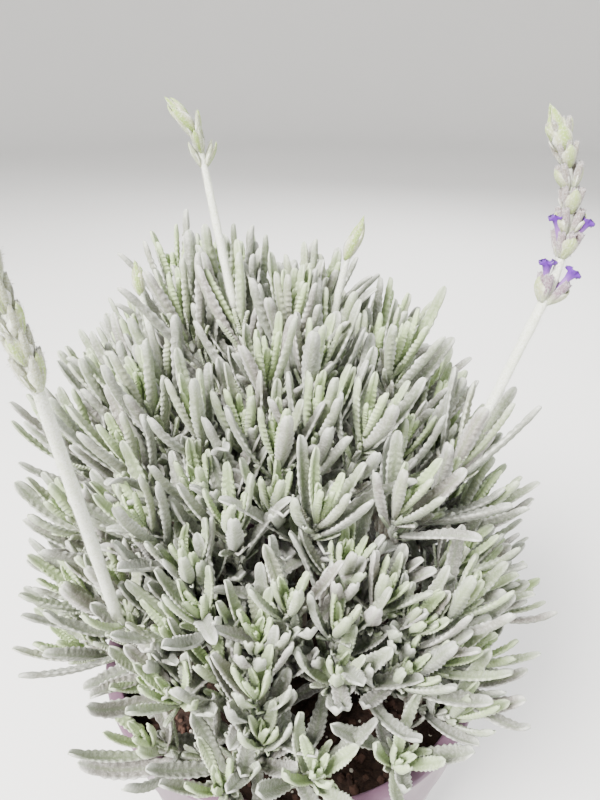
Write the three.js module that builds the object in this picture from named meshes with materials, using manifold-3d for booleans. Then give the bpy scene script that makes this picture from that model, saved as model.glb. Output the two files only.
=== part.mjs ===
// A silver-leaved lavender in a six-inch nursery pot: a loose mound of leafy shoots on woody stems, with five
// flowering stems at different ages. Millimetres, +Z up, origin on the table under the middle of the pot.
// The front of the plant is -Y, where the mound is scooped lower and bare soil shows inside the rim.
import * as THREE from "three";
import { mergeVertices } from "three/addons/utils/BufferGeometryUtils.js";
import Module from "manifold-3d";

const wasm = await Module();
wasm.setup();

// ---- driving dimensions: pot and soil ----
const RIM_RADIUS = 75; // a six-inch pot
const POT_HEIGHT = 130;
const POT_BASE_RADIUS = 52;
const WALL = 2;
const LIP_WIDTH = 5.5;
const LIP_THICK = 2.4;
const COLLAR_HEIGHT = 26; // the upper band of the wall, which stands out a little
const COLLAR_STEP = 1;
const FLOOR = 2.6;
const DRAIN_HOLES = 6;
const DRAIN_HOLE_RADIUS = 4;
const DRAIN_RING = 36;
const POT_SEGMENTS = 48;
const INNER_RADIUS = RIM_RADIUS - LIP_WIDTH;
const SOIL_TOP = POT_HEIGHT - 13;
const SOIL_SEGMENTS = 32;
const SOIL_RINGS = [0.92, 0.74, 0.54, 0.34, 0.16]; // of the soil's radius, across its uneven top
const GAP = 0.35; // between pieces that touch

// ---- driving dimensions: the plant ----
const SEED = 2; // of every scatter below
const STEMS = 20; // woody stems, each with one end shoot and its side shoots
const SIDE_SHOOTS = 3;
const CROWN = new THREE.Vector3(0, 10, SOIL_TOP + 3); // where the stems leave the soil
const CROWN_RADIUS = 33;
const FORKS = [0.3, 0.42, 0.53]; // where side shoots leave a stem, as shares of its length
const STEM_RADIUS = 1.7;
const SHOOT_RADIUS = 1.25;
const ROOT_DEPTH = 16; // a stem's stub in the soil
const HOLE_RADIUS = 2.8; // of the plain hole that it stands in
const CORNER = 0.8; // a ring's corners stand out this share of its radius, both ways
const SIDE_SPACING = 20; // from an end shoot to its side shoots, before they crowd each other apart
const SPREAD_DISTANCE = 29; // shoots nearer than this push each other away
const SPREAD_ROUNDS = 80;
const KEPT_FREE = 36; // length of a flowering stem under its leaves that shoots stay away from too

const SIDE_REACH = 80; // the mound's radius at the sides, to the shoots' ends
const TOP_RISE = 58; // how much further it reaches at the top
const FRONT_REACH = 83; // the same at the scooped front
const FRONT_RISE = 60;
const FRONT_FADE = 0.4; // radians of tilt over which the front falls away
const MOUND_CENTRE = new THREE.Vector3(0, 10, POT_HEIGHT);
const TOP_RISING = 0.42; // how far shoots turn upwards at the mound's top
const SIDE_RISING = 0.5; // how much more at its sides
const FRONT_RISING = 2.4; // and how much more again at its front
const LEAN = new THREE.Vector3(-0.13, 0.08, 0); // the top of the mound leans left and back
const WIDEST_TILT = 1.2; // radians from the vertical, of the lowest stems
const LOWEST_TILT = 1.42; // of any side shoot
const TILT_POWER = 0.6;
const GOLDEN_ANGLE = Math.PI * (3 - Math.sqrt(5));

const LOWER_LEAF = { below: 13, length: 35, halfWidth: 3.1, splay: 15 };
const UPPER_LEAF = { below: 4, length: 28, halfWidth: 2.6, splay: 8 };
const LEAF_THICK = 1.3;
const SPEAR_LENGTH = 19; // the bunch of young leaves at a shoot's end
const SPEAR_RADIUS = 2.1;
const SPEAR = [
  [0.2, 1],
  [0.5, 0.72],
  [1, 0],
];
const MARGIN = 0.7; // kept between a leaf and its neighbours
const SHORT_SHOOT = 34; // a shoot shorter than this holds its leaves closer to its end
const ROOT_HEIGHT = 3.2; // of a leaf's base along its shoot
const FLOWER_LEAF_DROP = 8; // how much lower the leaves stand under a flower
// Shares of a leaf's splay and length. It gets the first pair that keeps it clear of everything else.
const FITS = [
  [1, 1],
  [0.8, 1],
  [1, 0.8],
  [0.75, 0.75],
  [1.25, 0.9],
  [1.5, 0.8],
  [1.2, 0.55],
];

// Flowering stems. A stem leaves the foliage at "from", and its spike runs from "neck" to "tip".
// Heights are above the rim.
const FLOWERS = [
  {
    name: "right_spike",
    from: [60, -8, 100],
    neck: [76.5, 0, 141],
    tip: [72.5, 10, 196],
    radius: 1.7,
    bow: 0.12, // how far it bows sideways, of its length
    whorls: 7,
    second: 0.27, // where its second whorl sits, of its length
    size: 1.05, // of its lowest whorl
    open: 2, // whorls with open florets
  },
  {
    name: "left_spike",
    from: [-54, -46, 62],
    neck: [-53, -66, 146],
    tip: [-65, -61, 202],
    radius: 1.8,
    bow: 0,
    whorls: 9,
    second: 0.13,
    size: 0.88,
  },
  {
    name: "back_spike",
    from: [-21, 22, 138],
    neck: [-29.5, 39, 175],
    tip: [-40, 39, 196],
    radius: 1.4,
    bow: 0.12,
    whorls: 3,
    second: 0.22,
    size: 0.8,
  },
  {
    name: "middle_bud",
    from: [14, 27, 124],
    neck: [18, 30, 146],
    tip: [23.5, 31, 160],
    radius: 1.3,
    bow: 0.12,
    whorls: 1,
    size: 0.55,
  },
  {
    name: "left_bud",
    from: [-47, 16, 118],
    neck: [-51, 20, 137],
    tip: [-52, 22, 148],
    radius: 1.3,
    bow: 0.12,
    whorls: 1,
    size: 0.55,
  },
];
const WHORL_RADIUS = 5.2;
const TIP_BUD = 0.18; // of a spike's length
const YOUNG_BUD = 0.6; // the same on a young spike
const TAPER = 0.43; // how much smaller a whorl at the tip would be than one at the foot
const NECK = 0.75; // a spike's thinnest places, as a share of its stem
const FLORET_LENGTH = 8; // from inside its calyx
const FLORET_RADIUS = 3.2;

// ---- small helpers ----
const UP = new THREE.Vector3(0, 0, 1);
const vec = (x, y, z) => new THREE.Vector3(x, y, z);
const lerp = THREE.MathUtils.lerp;

// A repeatable number from -1 to 1 for item i and use k.
function scatter(i, k) {
  const s = Math.sin(i * 12.9898 + k * 78.233 + SEED) * 43758.5453;
  return 2 * (s - Math.floor(s)) - 1;
}

// A closed mesh from vertices and triangles, as a solid.
function solidFrom(vertices, triangles) {
  return new wasm.Manifold(
    new wasm.Mesh({
      numProp: 3,
      vertProperties: new Float32Array(vertices.flatMap((v) => [v.x, v.y, v.z])),
      triVerts: new Uint32Array(triangles.flat()),
    }),
  );
}

function solidOfGeometry(geometry) {
  const bare = geometry.clone();
  bare.deleteAttribute("normal");
  bare.deleteAttribute("uv");
  const merged = mergeVertices(bare, 1e-3);
  return new wasm.Manifold(
    new wasm.Mesh({
      numProp: 3,
      vertProperties: new Float32Array(merged.attributes.position.array),
      triVerts: new Uint32Array(merged.index.array),
    }),
  );
}

function meshOf(name, solid, material) {
  const { vertProperties, triVerts } = solid.getMesh();
  const geometry = new THREE.BufferGeometry();
  geometry.setAttribute("position", new THREE.BufferAttribute(vertProperties, 3));
  geometry.setIndex(new THREE.BufferAttribute(triVerts, 1));
  geometry.computeVertexNormals();
  const mesh = new THREE.Mesh(geometry, material);
  mesh.name = name;
  return mesh;
}

// ---- leaves ----
// A leaf's outline: places along it, and its half width there as a share of the widest. Its edge is scalloped
// and its tip is smooth.
const LEAF_EDGE = [
  [0.26, 0.92],
  [0.42, 0.56],
  [0.62, 1],
  [0.84, 0.62],
];
const LEAF_RIDGE = [0.26, 0.62]; // where the folded middle has its corners

// A leaf's skin, from the four corners of its root: two below, then two above. It spreads towards "out" and
// turns back up to run along its shoot. The vertices start with the root's corners.
function leafSkin({ corners, along, out, length, halfWidth, splay }) {
  const across = along.clone().cross(out).normalize();
  const root = corners.reduce((sum, c) => sum.addScaledVector(c, 0.25), vec(0, 0, 0));
  const rise = Math.sqrt(Math.max(0.2, 1 - (splay / length) ** 2));
  const centre = (u) =>
    root
      .clone()
      .addScaledVector(along, length * u * rise)
      .addScaledVector(out, splay * u * (2 - u));
  const edge = (side) => LEAF_EDGE.map(([u, w]) => centre(u).addScaledVector(across, side * w * halfWidth));
  const side = Math.sign(across.dot(corners[1].clone().sub(corners[0])));
  const ridge = LEAF_RIDGE.map((u) => centre(u).addScaledVector(out, -LEAF_THICK * (1 - 0.3 * u)));
  const n = LEAF_EDGE.length;
  const [left, right, top] = [4, 4 + n, 4 + 2 * n];
  const tip = top + ridge.length;
  const triangles = [
    [0, 1, right],
    [0, right, left],
    [1, 2, top],
    [1, top, right],
    [2, 3, top],
    [3, 0, left],
    [3, left, top],
  ];
  let r = top;
  for (let i = 0; i + 1 < n; i++) {
    const [l, m] = [left + i, right + i];
    triangles.push([l, m, m + 1], [l, m + 1, l + 1], [m, r, m + 1], [r, l, l + 1]);
    if (r + 1 < tip && LEAF_RIDGE[r + 1 - top] <= LEAF_EDGE[i + 1][0]) {
      triangles.push([r, r + 1, m + 1], [r, l + 1, r + 1]);
      r += 1;
    }
  }
  triangles.push([left + n - 1, right + n - 1, tip], [right + n - 1, r, tip], [r, left + n - 1, tip]);
  return { vertices: [...corners, ...edge(-side), ...edge(side), ...ridge, centre(1)], triangles };
}

function leafSolid(leaf) {
  const { vertices, triangles } = leafSkin(leaf);
  return solidFrom(vertices, [...triangles, [0, 2, 1], [0, 3, 2]]);
}

// ---- the mound: where each stem and shoot runs ----
const frontShare = (direction) => {
  const flat = Math.hypot(direction.x, direction.y);
  return flat > 1e-6 ? Math.max(0, -direction.y / flat) ** 2 : 0;
};

function moundPoint(direction, lift = 0) {
  const tilt = Math.acos(THREE.MathUtils.clamp(direction.z, -1, 1));
  const round = SIDE_REACH + TOP_RISE * Math.cos(tilt) ** 3;
  const scooped = FRONT_REACH + FRONT_RISE * Math.exp(-tilt / FRONT_FADE);
  const point = direction.clone().multiplyScalar(lerp(round, scooped, frontShare(direction)) + lift);
  return point.addScaledVector(LEAN, point.z).add(MOUND_CENTRE);
}

const directionAt = (tilt, turn) =>
  vec(Math.sin(tilt) * Math.cos(turn), Math.sin(tilt) * Math.sin(turn), Math.cos(tilt));

// The way a shoot points at its end: outwards, and turned up towards the light, most of all at the front.
const shootDirection = (outward, i) =>
  outward
    .clone()
    .multiplyScalar(0.8)
    .addScaledVector(UP, TOP_RISING + (SIDE_RISING + FRONT_RISING * frontShare(outward)) * (1 - outward.z))
    .add(vec(scatter(i, 5), scatter(i, 6), 0).multiplyScalar(0.07))
    .normalize();

function bend(from, leaving, to, arriving) {
  const span = from.distanceTo(to);
  return new THREE.CubicBezierCurve3(
    from,
    from.clone().addScaledVector(leaving, 0.3 * span),
    to.clone().addScaledVector(arriving, -0.38 * span),
    to,
  );
}

// A side shoot's direction from the mound's centre, beside that of its stem.
function besides(direction, i, k) {
  const reach = moundPoint(direction).distanceTo(MOUND_CENTRE);
  const level = vec(-direction.y, direction.x, 0.001).normalize();
  const slope = direction.clone().cross(level);
  const turn = (2 * Math.PI * (k + scatter(i, 2) * 0.5)) / SIDE_SHOOTS;
  return direction
    .clone()
    .multiplyScalar(reach)
    .addScaledVector(level, SIDE_SPACING * Math.cos(turn))
    .addScaledVector(slope, SIDE_SPACING * Math.sin(turn))
    .normalize();
}

// Shoots crowd each other apart until they share the mound evenly; those with flowers stay where they are.
function spreadOut(shoots) {
  for (let round = 0; round < SPREAD_ROUNDS; round++) {
    const points = shoots.map((s) => (s.flower ? s.flower.from : moundPoint(s.outward)));
    for (const { flower } of shoots.filter((s) => s.flower))
      for (const share of [0.5, 1])
        points.push(flower.from.clone().addScaledVector(flower.leaning, -share * KEPT_FREE));
    shoots.forEach((shoot, i) => {
      if (shoot.flower) return;
      const push = vec(0, 0, 0);
      points.forEach((other, j) => {
        const distance = points[i].distanceTo(other);
        if (j !== i && distance < SPREAD_DISTANCE)
          push.addScaledVector(points[i].clone().sub(other), (0.3 * (SPREAD_DISTANCE - distance)) / distance);
      });
      const moved = points[i].clone().add(push).sub(MOUND_CENTRE);
      moved.addScaledVector(LEAN, -moved.z).normalize();
      const tilt = Math.acos(moved.z);
      shoot.outward = tilt < LOWEST_TILT ? moved : directionAt(LOWEST_TILT, Math.atan2(moved.y, moved.x));
    });
  }
}

// Every stem with its shoots. A shoot is {outward, curve, end, direction}. The first is the stem's own end.
function layOut() {
  const stems = [];
  for (let i = 0; i < STEMS; i++) {
    const share = (i + 0.5) / STEMS;
    stems.push({ index: i, direction: directionAt(WIDEST_TILT * share ** TILT_POWER, i * GOLDEN_ANGLE) });
  }
  for (const flower of FLOWERS) {
    const above = (p) => vec(p[0], p[1], p[2] + POT_HEIGHT);
    const from = above(flower.from);
    const towards = from.clone().sub(MOUND_CENTRE).normalize();
    const free = stems.filter((s) => !s.flower);
    const nearest = free.reduce((a, b) => (b.direction.dot(towards) > a.direction.dot(towards) ? b : a));
    const neck = above(flower.neck);
    const leaning = neck.clone().sub(from).normalize();
    nearest.flower = { ...flower, from, neck, leaning, tip: above(flower.tip) };
    nearest.direction = towards;
  }
  for (const stem of stems) {
    stem.shoots = [{ outward: stem.direction, flower: stem.flower }];
    for (let k = 0; k < SIDE_SHOOTS; k++)
      stem.shoots.push({ outward: besides(stem.direction, stem.index, k) });
  }
  spreadOut(stems.flatMap((s) => s.shoots));
  for (const stem of stems) {
    const middle = stem.shoots.reduce((sum, s) => sum.add(s.outward), vec(0, 0, 0)).normalize();
    const tilt = Math.acos(middle.z);
    const away = vec(middle.x, middle.y, 0).normalize();
    stem.foot = CROWN.clone().addScaledVector(away, CROWN_RADIUS * Math.min(1, tilt / WIDEST_TILT));
    const leaving = away.clone().multiplyScalar(0.35 * tilt).add(UP).normalize();
    stem.shoots.forEach((shoot, k) => {
      const id = stem.index * (SIDE_SHOOTS + 1) + k;
      const { flower, outward } = shoot;
      shoot.end = flower ? flower.from : moundPoint(outward, 5 * scatter(id, 1));
      shoot.direction = flower ? flower.leaning : shootDirection(outward, id);
      if (k === 0) shoot.curve = bend(stem.foot, leaving, shoot.end, shoot.direction);
      else {
        const main = stem.shoots[0].curve;
        const from = main.getPointAt(FORKS[k - 1]);
        const away = shoot.end.clone().sub(from).normalize().add(main.getTangentAt(FORKS[k - 1])).normalize();
        shoot.curve = bend(from, away, shoot.end, shoot.direction);
      }
    });
  }
  return stems;
}

// ---- building one stem ----
// The square rings of a shoot's skin, from its start to the tip of its bunch of young leaves. Each face of
// the square looks along one of four directions. The faces of two bands carry the two pairs of leaves, and on
// a stem's own rings the faces of three more carry its side shoots.
function shootRings(shoot, foot, id, base) {
  const thick = foot ? STEM_RADIUS : SHOOT_RADIUS;
  const length = shoot.curve.getLength();
  const drop = shoot.flower ? FLOWER_LEAF_DROP : 0;
  const stations = [];
  const on = (t) =>
    stations.push({ at: shoot.curve.getPointAt(t), radius: lerp(thick, 0.85 * SHOOT_RADIUS, t) });
  const band = (t) => {
    on(t - ROOT_HEIGHT / length);
    on(t);
    return stations.length - 2;
  };
  if (foot) stations.push({ at: foot.clone().setZ(SOIL_TOP - ROOT_DEPTH), radius: thick });
  on(0);
  const forks = foot ? FORKS.map(band) : [];
  const squeeze = Math.min(1, length / SHORT_SHOOT);
  const leafShare = ({ below }) => 1 - ((below + drop) * squeeze) / length;
  const leafBands = [LOWER_LEAF, UPPER_LEAF].map((pair) => band(leafShare(pair)));
  if (shoot.flower) on(1);
  else
    SPEAR.forEach(([share, width]) =>
      stations.push({
        at: shoot.end.clone().addScaledVector(shoot.direction, share * SPEAR_LENGTH),
        radius: width * SPEAR_RADIUS,
      }),
    );
  const last = stations.length - 1;
  stations.forEach((s, i) => {
    s.along = stations[Math.min(i + 1, last)].at
      .clone()
      .sub(stations[Math.max(i - 1, 0)].at)
      .normalize();
  });
  const turn = Math.PI * scatter(id, 3);
  let east = base ? base.down : vec(Math.cos(turn), Math.sin(turn), 0);
  for (const s of stations) {
    east = east.clone().addScaledVector(s.along, -east.dot(s.along)).normalize();
    const north = s.along.clone().cross(east);
    s.facing = [east, north, east.clone().negate(), north.clone().negate()];
    const corner = (p, q) => p.clone().add(q).multiplyScalar(s.radius * CORNER).add(s.at);
    s.corners = s.radius === 0 ? [s.at] : s.facing.map((f, q) => corner(f, s.facing[(q + 3) % 4]));
  }
  if (base) stations[0].corners = base.corners;
  return { stations, leafBands, forks };
}

const cornersOf = (low, high, face) => {
  const next = (face + 1) % 4;
  return [low[face], low[next], high[next], high[face]];
};

// The face of a stem's fork that looks most towards a side shoot's end.
function forkBase({ stations, forks }, fork, end) {
  const band = forks[fork];
  const [low, high] = [stations[band], stations[band + 1]];
  const towards = end.clone().sub(low.at);
  const views = low.facing.map((f) => f.dot(towards));
  const face = views.indexOf(Math.max(...views));
  const corners = cornersOf(low.corners, high.corners, face);
  return { band, face, corners, down: low.along.clone().negate() };
}

// The leaves of a shoot: a lower and an upper pair, crosswise, each leaf rooted on one face of a band.
function leavesOf({ stations, leafBands }, id) {
  return leafBands.flatMap((band, pair) =>
    [pair, pair + 2].map((face) => {
      const size = pair ? UPPER_LEAF : LOWER_LEAF;
      const seed = id * 4 + face;
      const grown = 1 + 0.14 * scatter(seed, 4);
      const along = stations[stations.length - 1].along;
      const facing = stations[band].facing[face].clone();
      return {
        band,
        face,
        corners: cornersOf(stations[band].corners, stations[band + 1].corners, face),
        along,
        out: facing.addScaledVector(along, -facing.dot(along)).normalize(),
        length: size.length * grown,
        halfWidth: size.halfWidth * grown,
        splay: size.splay * (1 + 0.2 * scatter(seed, 7)),
      };
    }),
  );
}

// One skin over a shoot, its leaves and its side shoots. What grows from a face takes the face's place.
function shootSkin({ stations }, growths, closed = true) {
  const vertices = [];
  const triangles = [];
  const rings = stations.map(({ corners }) => {
    const first = vertices.length;
    vertices.push(...corners);
    return corners.length > 1 ? [first, first + 1, first + 2, first + 3] : [first, first, first, first];
  });
  for (let j = 0; j + 1 < rings.length; j++)
    for (let q = 0; q < 4; q++) {
      const corners = cornersOf(rings[j], rings[j + 1], q);
      const growth = growths.find((g) => g.band === j && g.face === q);
      if (growth) {
        const shift = vertices.length - 4;
        vertices.push(...growth.skin.vertices.slice(4));
        for (const t of growth.skin.triangles) triangles.push(t.map((v) => (v < 4 ? corners[v] : v + shift)));
      } else {
        triangles.push([corners[0], corners[1], corners[2]]);
        if (corners[2] !== corners[3]) triangles.push([corners[0], corners[2], corners[3]]);
      }
    }
  const [first, last] = [rings[0], rings[rings.length - 1]];
  if (closed) triangles.push([first[0], first[3], first[2]], [first[0], first[2], first[1]]);
  if (last[0] !== last[1]) triangles.push([last[0], last[1], last[2]], [last[0], last[2], last[3]]);
  return { vertices, triangles };
}

const shootSolid = (rings, growths) => {
  const { vertices, triangles } = shootSkin(rings, growths);
  return solidFrom(vertices, triangles);
};

// The level direction square to a spike's axis, towards the viewer's right.
const sideways = (along) => vec(along.z, 0, -along.x).normalize();

const boxesMeet = (a, b) => [0, 1, 2].every((k) => a.min[k] < b.max[k] && b.min[k] < a.max[k]);

// ---- flower spikes ----
// A spike's skin is made of rings that alternate between two radii and two heights, which give the points of
// the woolly calyces.
const POINTS = 5; // calyces in a whorl
const FLORET_LOBES = 5;
const FLORET_THROAT = 1.3;
const CALYX = (out, between) => Array.from({ length: 2 * POINTS }, (_, q) => (q % 2 ? between : out));
const BRACT = [1.3, 0.8, 0.3, 0.3, 0.8, 1.3, 0.8, 0.3, 0.3, 0.8]; // two broad bracts, on opposite sides
const BRACT_LIFT = [2.6, 0.4, 0, 0, 0.4, 2.6, 0.4, 0, 0, 0.4];
const WHORL_RINGS = [
  { up: -1.9, out: CALYX(0.25, 0.25) },
  { up: -0.6, out: BRACT, lift: BRACT_LIFT },
  { up: 0.1, out: CALYX(0.4, 0.4) },
  { up: 1.6, out: CALYX(0.86, 0.55) },
  { up: 4.2, out: CALYX(1, 0.5), lift: CALYX(1.2, 0) },
  { up: 4.5, out: CALYX(0.24, 0.24) },
];

function starSkin(stations) {
  const vertices = [];
  const triangles = [];
  const n = 2 * POINTS;
  let east = vec(1, 0, 0);
  const rings = stations.map(({ at, along, radii, lift, turn }) => {
    east = east.clone().addScaledVector(along, -east.dot(along)).normalize();
    const north = along.clone().cross(east);
    const first = vertices.length;
    if (radii[0] === 0) {
      vertices.push(at);
      return Array(n).fill(first);
    }
    for (let q = 0; q < n; q++) {
      const angle = (2 * Math.PI * (q + turn)) / n;
      vertices.push(
        at
          .clone()
          .addScaledVector(along, lift ? lift[q] : 0)
          .addScaledVector(east, radii[q] * Math.cos(angle))
          .addScaledVector(north, radii[q] * Math.sin(angle)),
      );
    }
    return vertices.slice(first).map((_, q) => first + q);
  });
  for (let j = 0; j + 1 < rings.length; j++)
    for (let q = 0; q < n; q++) {
      const [a, b, c, d] = [rings[j][q], rings[j][(q + 1) % n], rings[j + 1][(q + 1) % n], rings[j + 1][q]];
      triangles.push([a, b, c]);
      if (c !== d) triangles.push([a, c, d]);
    }
  for (let q = 1; q + 1 < n; q++) triangles.push([rings[0][0], rings[0][q + 1], rings[0][q]]);
  return solidFrom(vertices, triangles);
}

// An open floret: a short tube with five lobes.
function floret(at, along, out) {
  const across = along.clone().cross(out).normalize();
  const facing = out.clone().multiplyScalar(0.35).addScaledVector(along, 0.9).normalize();
  const upright = across.clone().cross(facing).normalize();
  const start = at.clone().addScaledVector(out, 1.4).addScaledVector(along, 2.4);
  const mouth = start.clone().addScaledVector(facing, FLORET_LENGTH);
  const ring = (centre, radii) =>
    radii.map((r, k) => {
      const turn = (2 * Math.PI * k) / radii.length;
      const [sideways, up] = [r * Math.cos(turn), r * Math.sin(turn)];
      return centre.clone().addScaledVector(across, sideways).addScaledVector(upright, up);
    });
  const count = 2 * FLORET_LOBES;
  const lobes = Array.from({ length: count }, (_, k) => (k % 2 ? FLORET_THROAT : FLORET_RADIUS));
  const vertices = [start, ...ring(mouth, lobes), mouth.clone().addScaledVector(facing, 0.9)];
  const triangles = [];
  for (let k = 0; k < count; k++) {
    const [a, b] = [1 + k, 1 + ((k + 1) % count)];
    triangles.push([0, a, b], [count + 1, b, a]);
  }
  return solidFrom(vertices, triangles);
}

// Where a whorl sits on its spike. On a spike in bloom the lowest whorl stands apart from the rest.
function whorlPlace(w, { whorls, second }) {
  const last = 1 - (whorls > 3 ? TIP_BUD : YOUNG_BUD);
  return w ? lerp(second, last, (w - 1) / (whorls - 2)) : 0.03;
}

// A flowering stem above the leaves: bare stem, whorls and end bud in one skin, then the open florets.
function spike(flower) {
  const { from, neck, leaning, tip, radius, bow, whorls, open = 0 } = flower;
  const rising = tip.clone().sub(neck).normalize();
  const bowed = neck.clone().lerp(tip, 0.5).addScaledVector(sideways(rising), bow * neck.distanceTo(tip));
  const axis = new THREE.CatmullRomCurve3([neck, bowed, tip]);
  const grown = whorls > 3;
  const plain = (at, along, r) => ({ at, along, radii: CALYX(r, r), turn: 0 });
  const stations = [plain(from.clone().addScaledVector(leaning, -4), leaning, radius)];
  if (grown) stations.push(plain(from.clone().lerp(neck, 0.6), leaning, radius));
  const pieces = [];
  for (let w = 0; w < whorls; w++) {
    const t = whorlPlace(w, flower);
    const at = axis.getPointAt(t);
    const along = axis.getTangentAt(t);
    const size = flower.size * (1 - TAPER * t);
    WHORL_RINGS.forEach((ring) =>
      stations.push({
        at: at.clone().addScaledVector(along, ring.up * size),
        along,
        radii: ring.out.map((r) => Math.max(r * WHORL_RADIUS * size, NECK * radius)),
        lift: ring.lift,
        turn: (w % 2) * 2.5,
      }),
    );
    if (w < open)
      for (const side of [-1, 1]) pieces.push(floret(at, along, sideways(along).multiplyScalar(side)));
  }
  const bud = (share, r) => plain(axis.getPointAt(share), axis.getTangentAt(share), r * WHORL_RADIUS);
  stations.push(bud(1 - TIP_BUD * 0.35, grown ? 0.55 : 0.3), bud(1, 0));
  pieces.push(starSkin(stations));
  return pieces;
}

// ---- pot and soil ----
const INNER_WALL = [
  [INNER_RADIUS - COLLAR_STEP, POT_HEIGHT - COLLAR_HEIGHT],
  [POT_BASE_RADIUS - WALL, FLOOR],
];

function potSolid() {
  const collar = POT_HEIGHT - COLLAR_HEIGHT;
  const outer = INNER_RADIUS + WALL;
  const profile = [
    [0, 0],
    [POT_BASE_RADIUS - 2, 0],
    [POT_BASE_RADIUS, 2],
    [outer - COLLAR_STEP - 0.8, collar - 1],
    [outer - 0.6, collar],
    [outer, POT_HEIGHT - LIP_THICK],
    [RIM_RADIUS - 0.7, POT_HEIGHT - LIP_THICK],
    [RIM_RADIUS, POT_HEIGHT - LIP_THICK + 0.8],
    [RIM_RADIUS, POT_HEIGHT - 0.8],
    [RIM_RADIUS - 0.9, POT_HEIGHT],
    [INNER_RADIUS + 0.8, POT_HEIGHT],
    [INNER_RADIUS, POT_HEIGHT - 0.8],
    ...INNER_WALL,
    [0, FLOOR],
  ].map(([r, z]) => new THREE.Vector2(r, z));
  let pot = solidOfGeometry(new THREE.LatheGeometry(profile, POT_SEGMENTS).rotateX(Math.PI / 2));
  for (let k = 0; k < DRAIN_HOLES; k++) {
    const turn = (2 * Math.PI * (k + 0.5)) / DRAIN_HOLES;
    const hole = wasm.Manifold.cylinder(FLOOR + 2, DRAIN_HOLE_RADIUS, DRAIN_HOLE_RADIUS, 12);
    pot = pot.subtract(hole.translate([DRAIN_RING * Math.cos(turn), DRAIN_RING * Math.sin(turn), -1]));
  }
  return pot;
}

// The soil's uneven top: three waves of different lengths, in millimetres.
const soilRelief = (x, y) =>
  0.7 * Math.sin(0.13 * x + 0.6) * Math.cos(0.11 * y) +
  0.5 * Math.sin(0.29 * x - 0.23 * y) +
  0.3 * Math.cos(0.41 * y + 0.2 * x);

function soilSolid(stems) {
  const [collar, base] = INNER_WALL.map(([r]) => r - GAP);
  const reach = INNER_RADIUS - 0.6 - GAP;
  const profile = [
    [0, FLOOR + GAP],
    [base, FLOOR + GAP],
    [collar, POT_HEIGHT - COLLAR_HEIGHT],
    [reach, SOIL_TOP - 3],
    [reach - 0.3, SOIL_TOP - 1],
    ...SOIL_RINGS.map((share) => [reach * share, SOIL_TOP]),
    [0, SOIL_TOP],
  ].map(([r, z]) => new THREE.Vector2(r, z));
  const geometry = new THREE.LatheGeometry(profile, SOIL_SEGMENTS).rotateX(Math.PI / 2);
  const p = geometry.attributes.position;
  for (let i = 0; i < p.count; i++)
    if (p.getZ(i) > SOIL_TOP - 0.5) p.setZ(i, p.getZ(i) + soilRelief(p.getX(i), p.getY(i)));
  let soil = solidOfGeometry(geometry);
  for (const { foot } of stems) {
    const hole = wasm.Manifold.cylinder(ROOT_DEPTH + 12, HOLE_RADIUS, HOLE_RADIUS, 6);
    soil = soil.subtract(hole.translate([foot.x, foot.y, SOIL_TOP - ROOT_DEPTH - GAP]));
  }
  return soil;
}

// ---- assembly ----
const material = (color, roughness) => new THREE.MeshStandardMaterial({ color, roughness, metalness: 0 });
const stems = layOut();
const pot = potSolid();
const soil = soilSolid(stems);

// Everything that a new leaf has to stay clear of.
const placed = [pot, soil].map((solid) => ({ solid, box: solid.boundingBox() }));
const place = (solid, shoot) => placed.push({ shoot, solid, box: solid.boundingBox() });
const idOf = (stem, k) => stem.index * (SIDE_SHOOTS + 1) + k;

for (const stem of stems) {
  stem.shoots.forEach((shoot, k) => {
    shoot.base = k ? forkBase(stem.shoots[0].rings, k - 1, shoot.end) : null;
    shoot.rings = shootRings(shoot, k ? null : stem.foot, idOf(stem, k), shoot.base);
    place(shootSolid(shoot.rings, []), shoot);
  });
  stem.extras = stem.flower ? spike(stem.flower) : [];
  for (const solid of stem.extras) place(solid);
}

function isClear(leaf, shoot) {
  const plain = leafSolid(leaf);
  const wide = leafSolid({ ...leaf, halfWidth: leaf.halfWidth + MARGIN, length: leaf.length + MARGIN });
  const box = wide.boundingBox();
  return !placed.some(
    (p) =>
      boxesMeet(p.box, box) &&
      (p.shoot === shoot ? p.solid.intersect(plain).volume() > 0.01 : !p.solid.intersect(wide).isEmpty()),
  );
}

for (const stem of stems)
  stem.shoots.forEach((shoot, k) => {
    shoot.growths = [];
    for (const leaf of leavesOf(shoot.rings, idOf(stem, k))) {
      const fitted = FITS.map(([splay, length]) => ({
        ...leaf,
        splay: leaf.splay * splay,
        length: leaf.length * length,
      })).find((l) => isClear(l, shoot));
      if (fitted) {
        place(leafSolid(fitted), shoot);
        shoot.growths.push({ ...fitted, skin: leafSkin(fitted) });
      }
    }
  });

const pottedLavender = new THREE.Group();
const plant = new THREE.Group();
pottedLavender.add(meshOf("pot", pot, material(0xa48e9c, 0.42)));
pottedLavender.add(meshOf("soil", soil, material(0x4a3430, 1)));
pottedLavender.add(plant);
let leafyStems = 0;
for (const { shoots, flower, extras } of stems) {
  const [main, ...sides] = shoots;
  const forks = sides.map(({ base, rings, growths }) => ({
    ...base,
    skin: shootSkin(rings, growths, false),
  }));
  const whole = wasm.Manifold.union([shootSolid(main.rings, [...main.growths, ...forks]), ...extras]);
  if (flower) plant.add(meshOf(`flowering_stem_${flower.name}`, whole, material(0xb9bda8, 0.95)));
  else {
    leafyStems += 1;
    plant.add(meshOf(`leafy_stem_${String(leafyStems).padStart(2, "0")}`, whole, material(0x9b9d93, 0.95)));
  }
}

export default pottedLavender;
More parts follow.
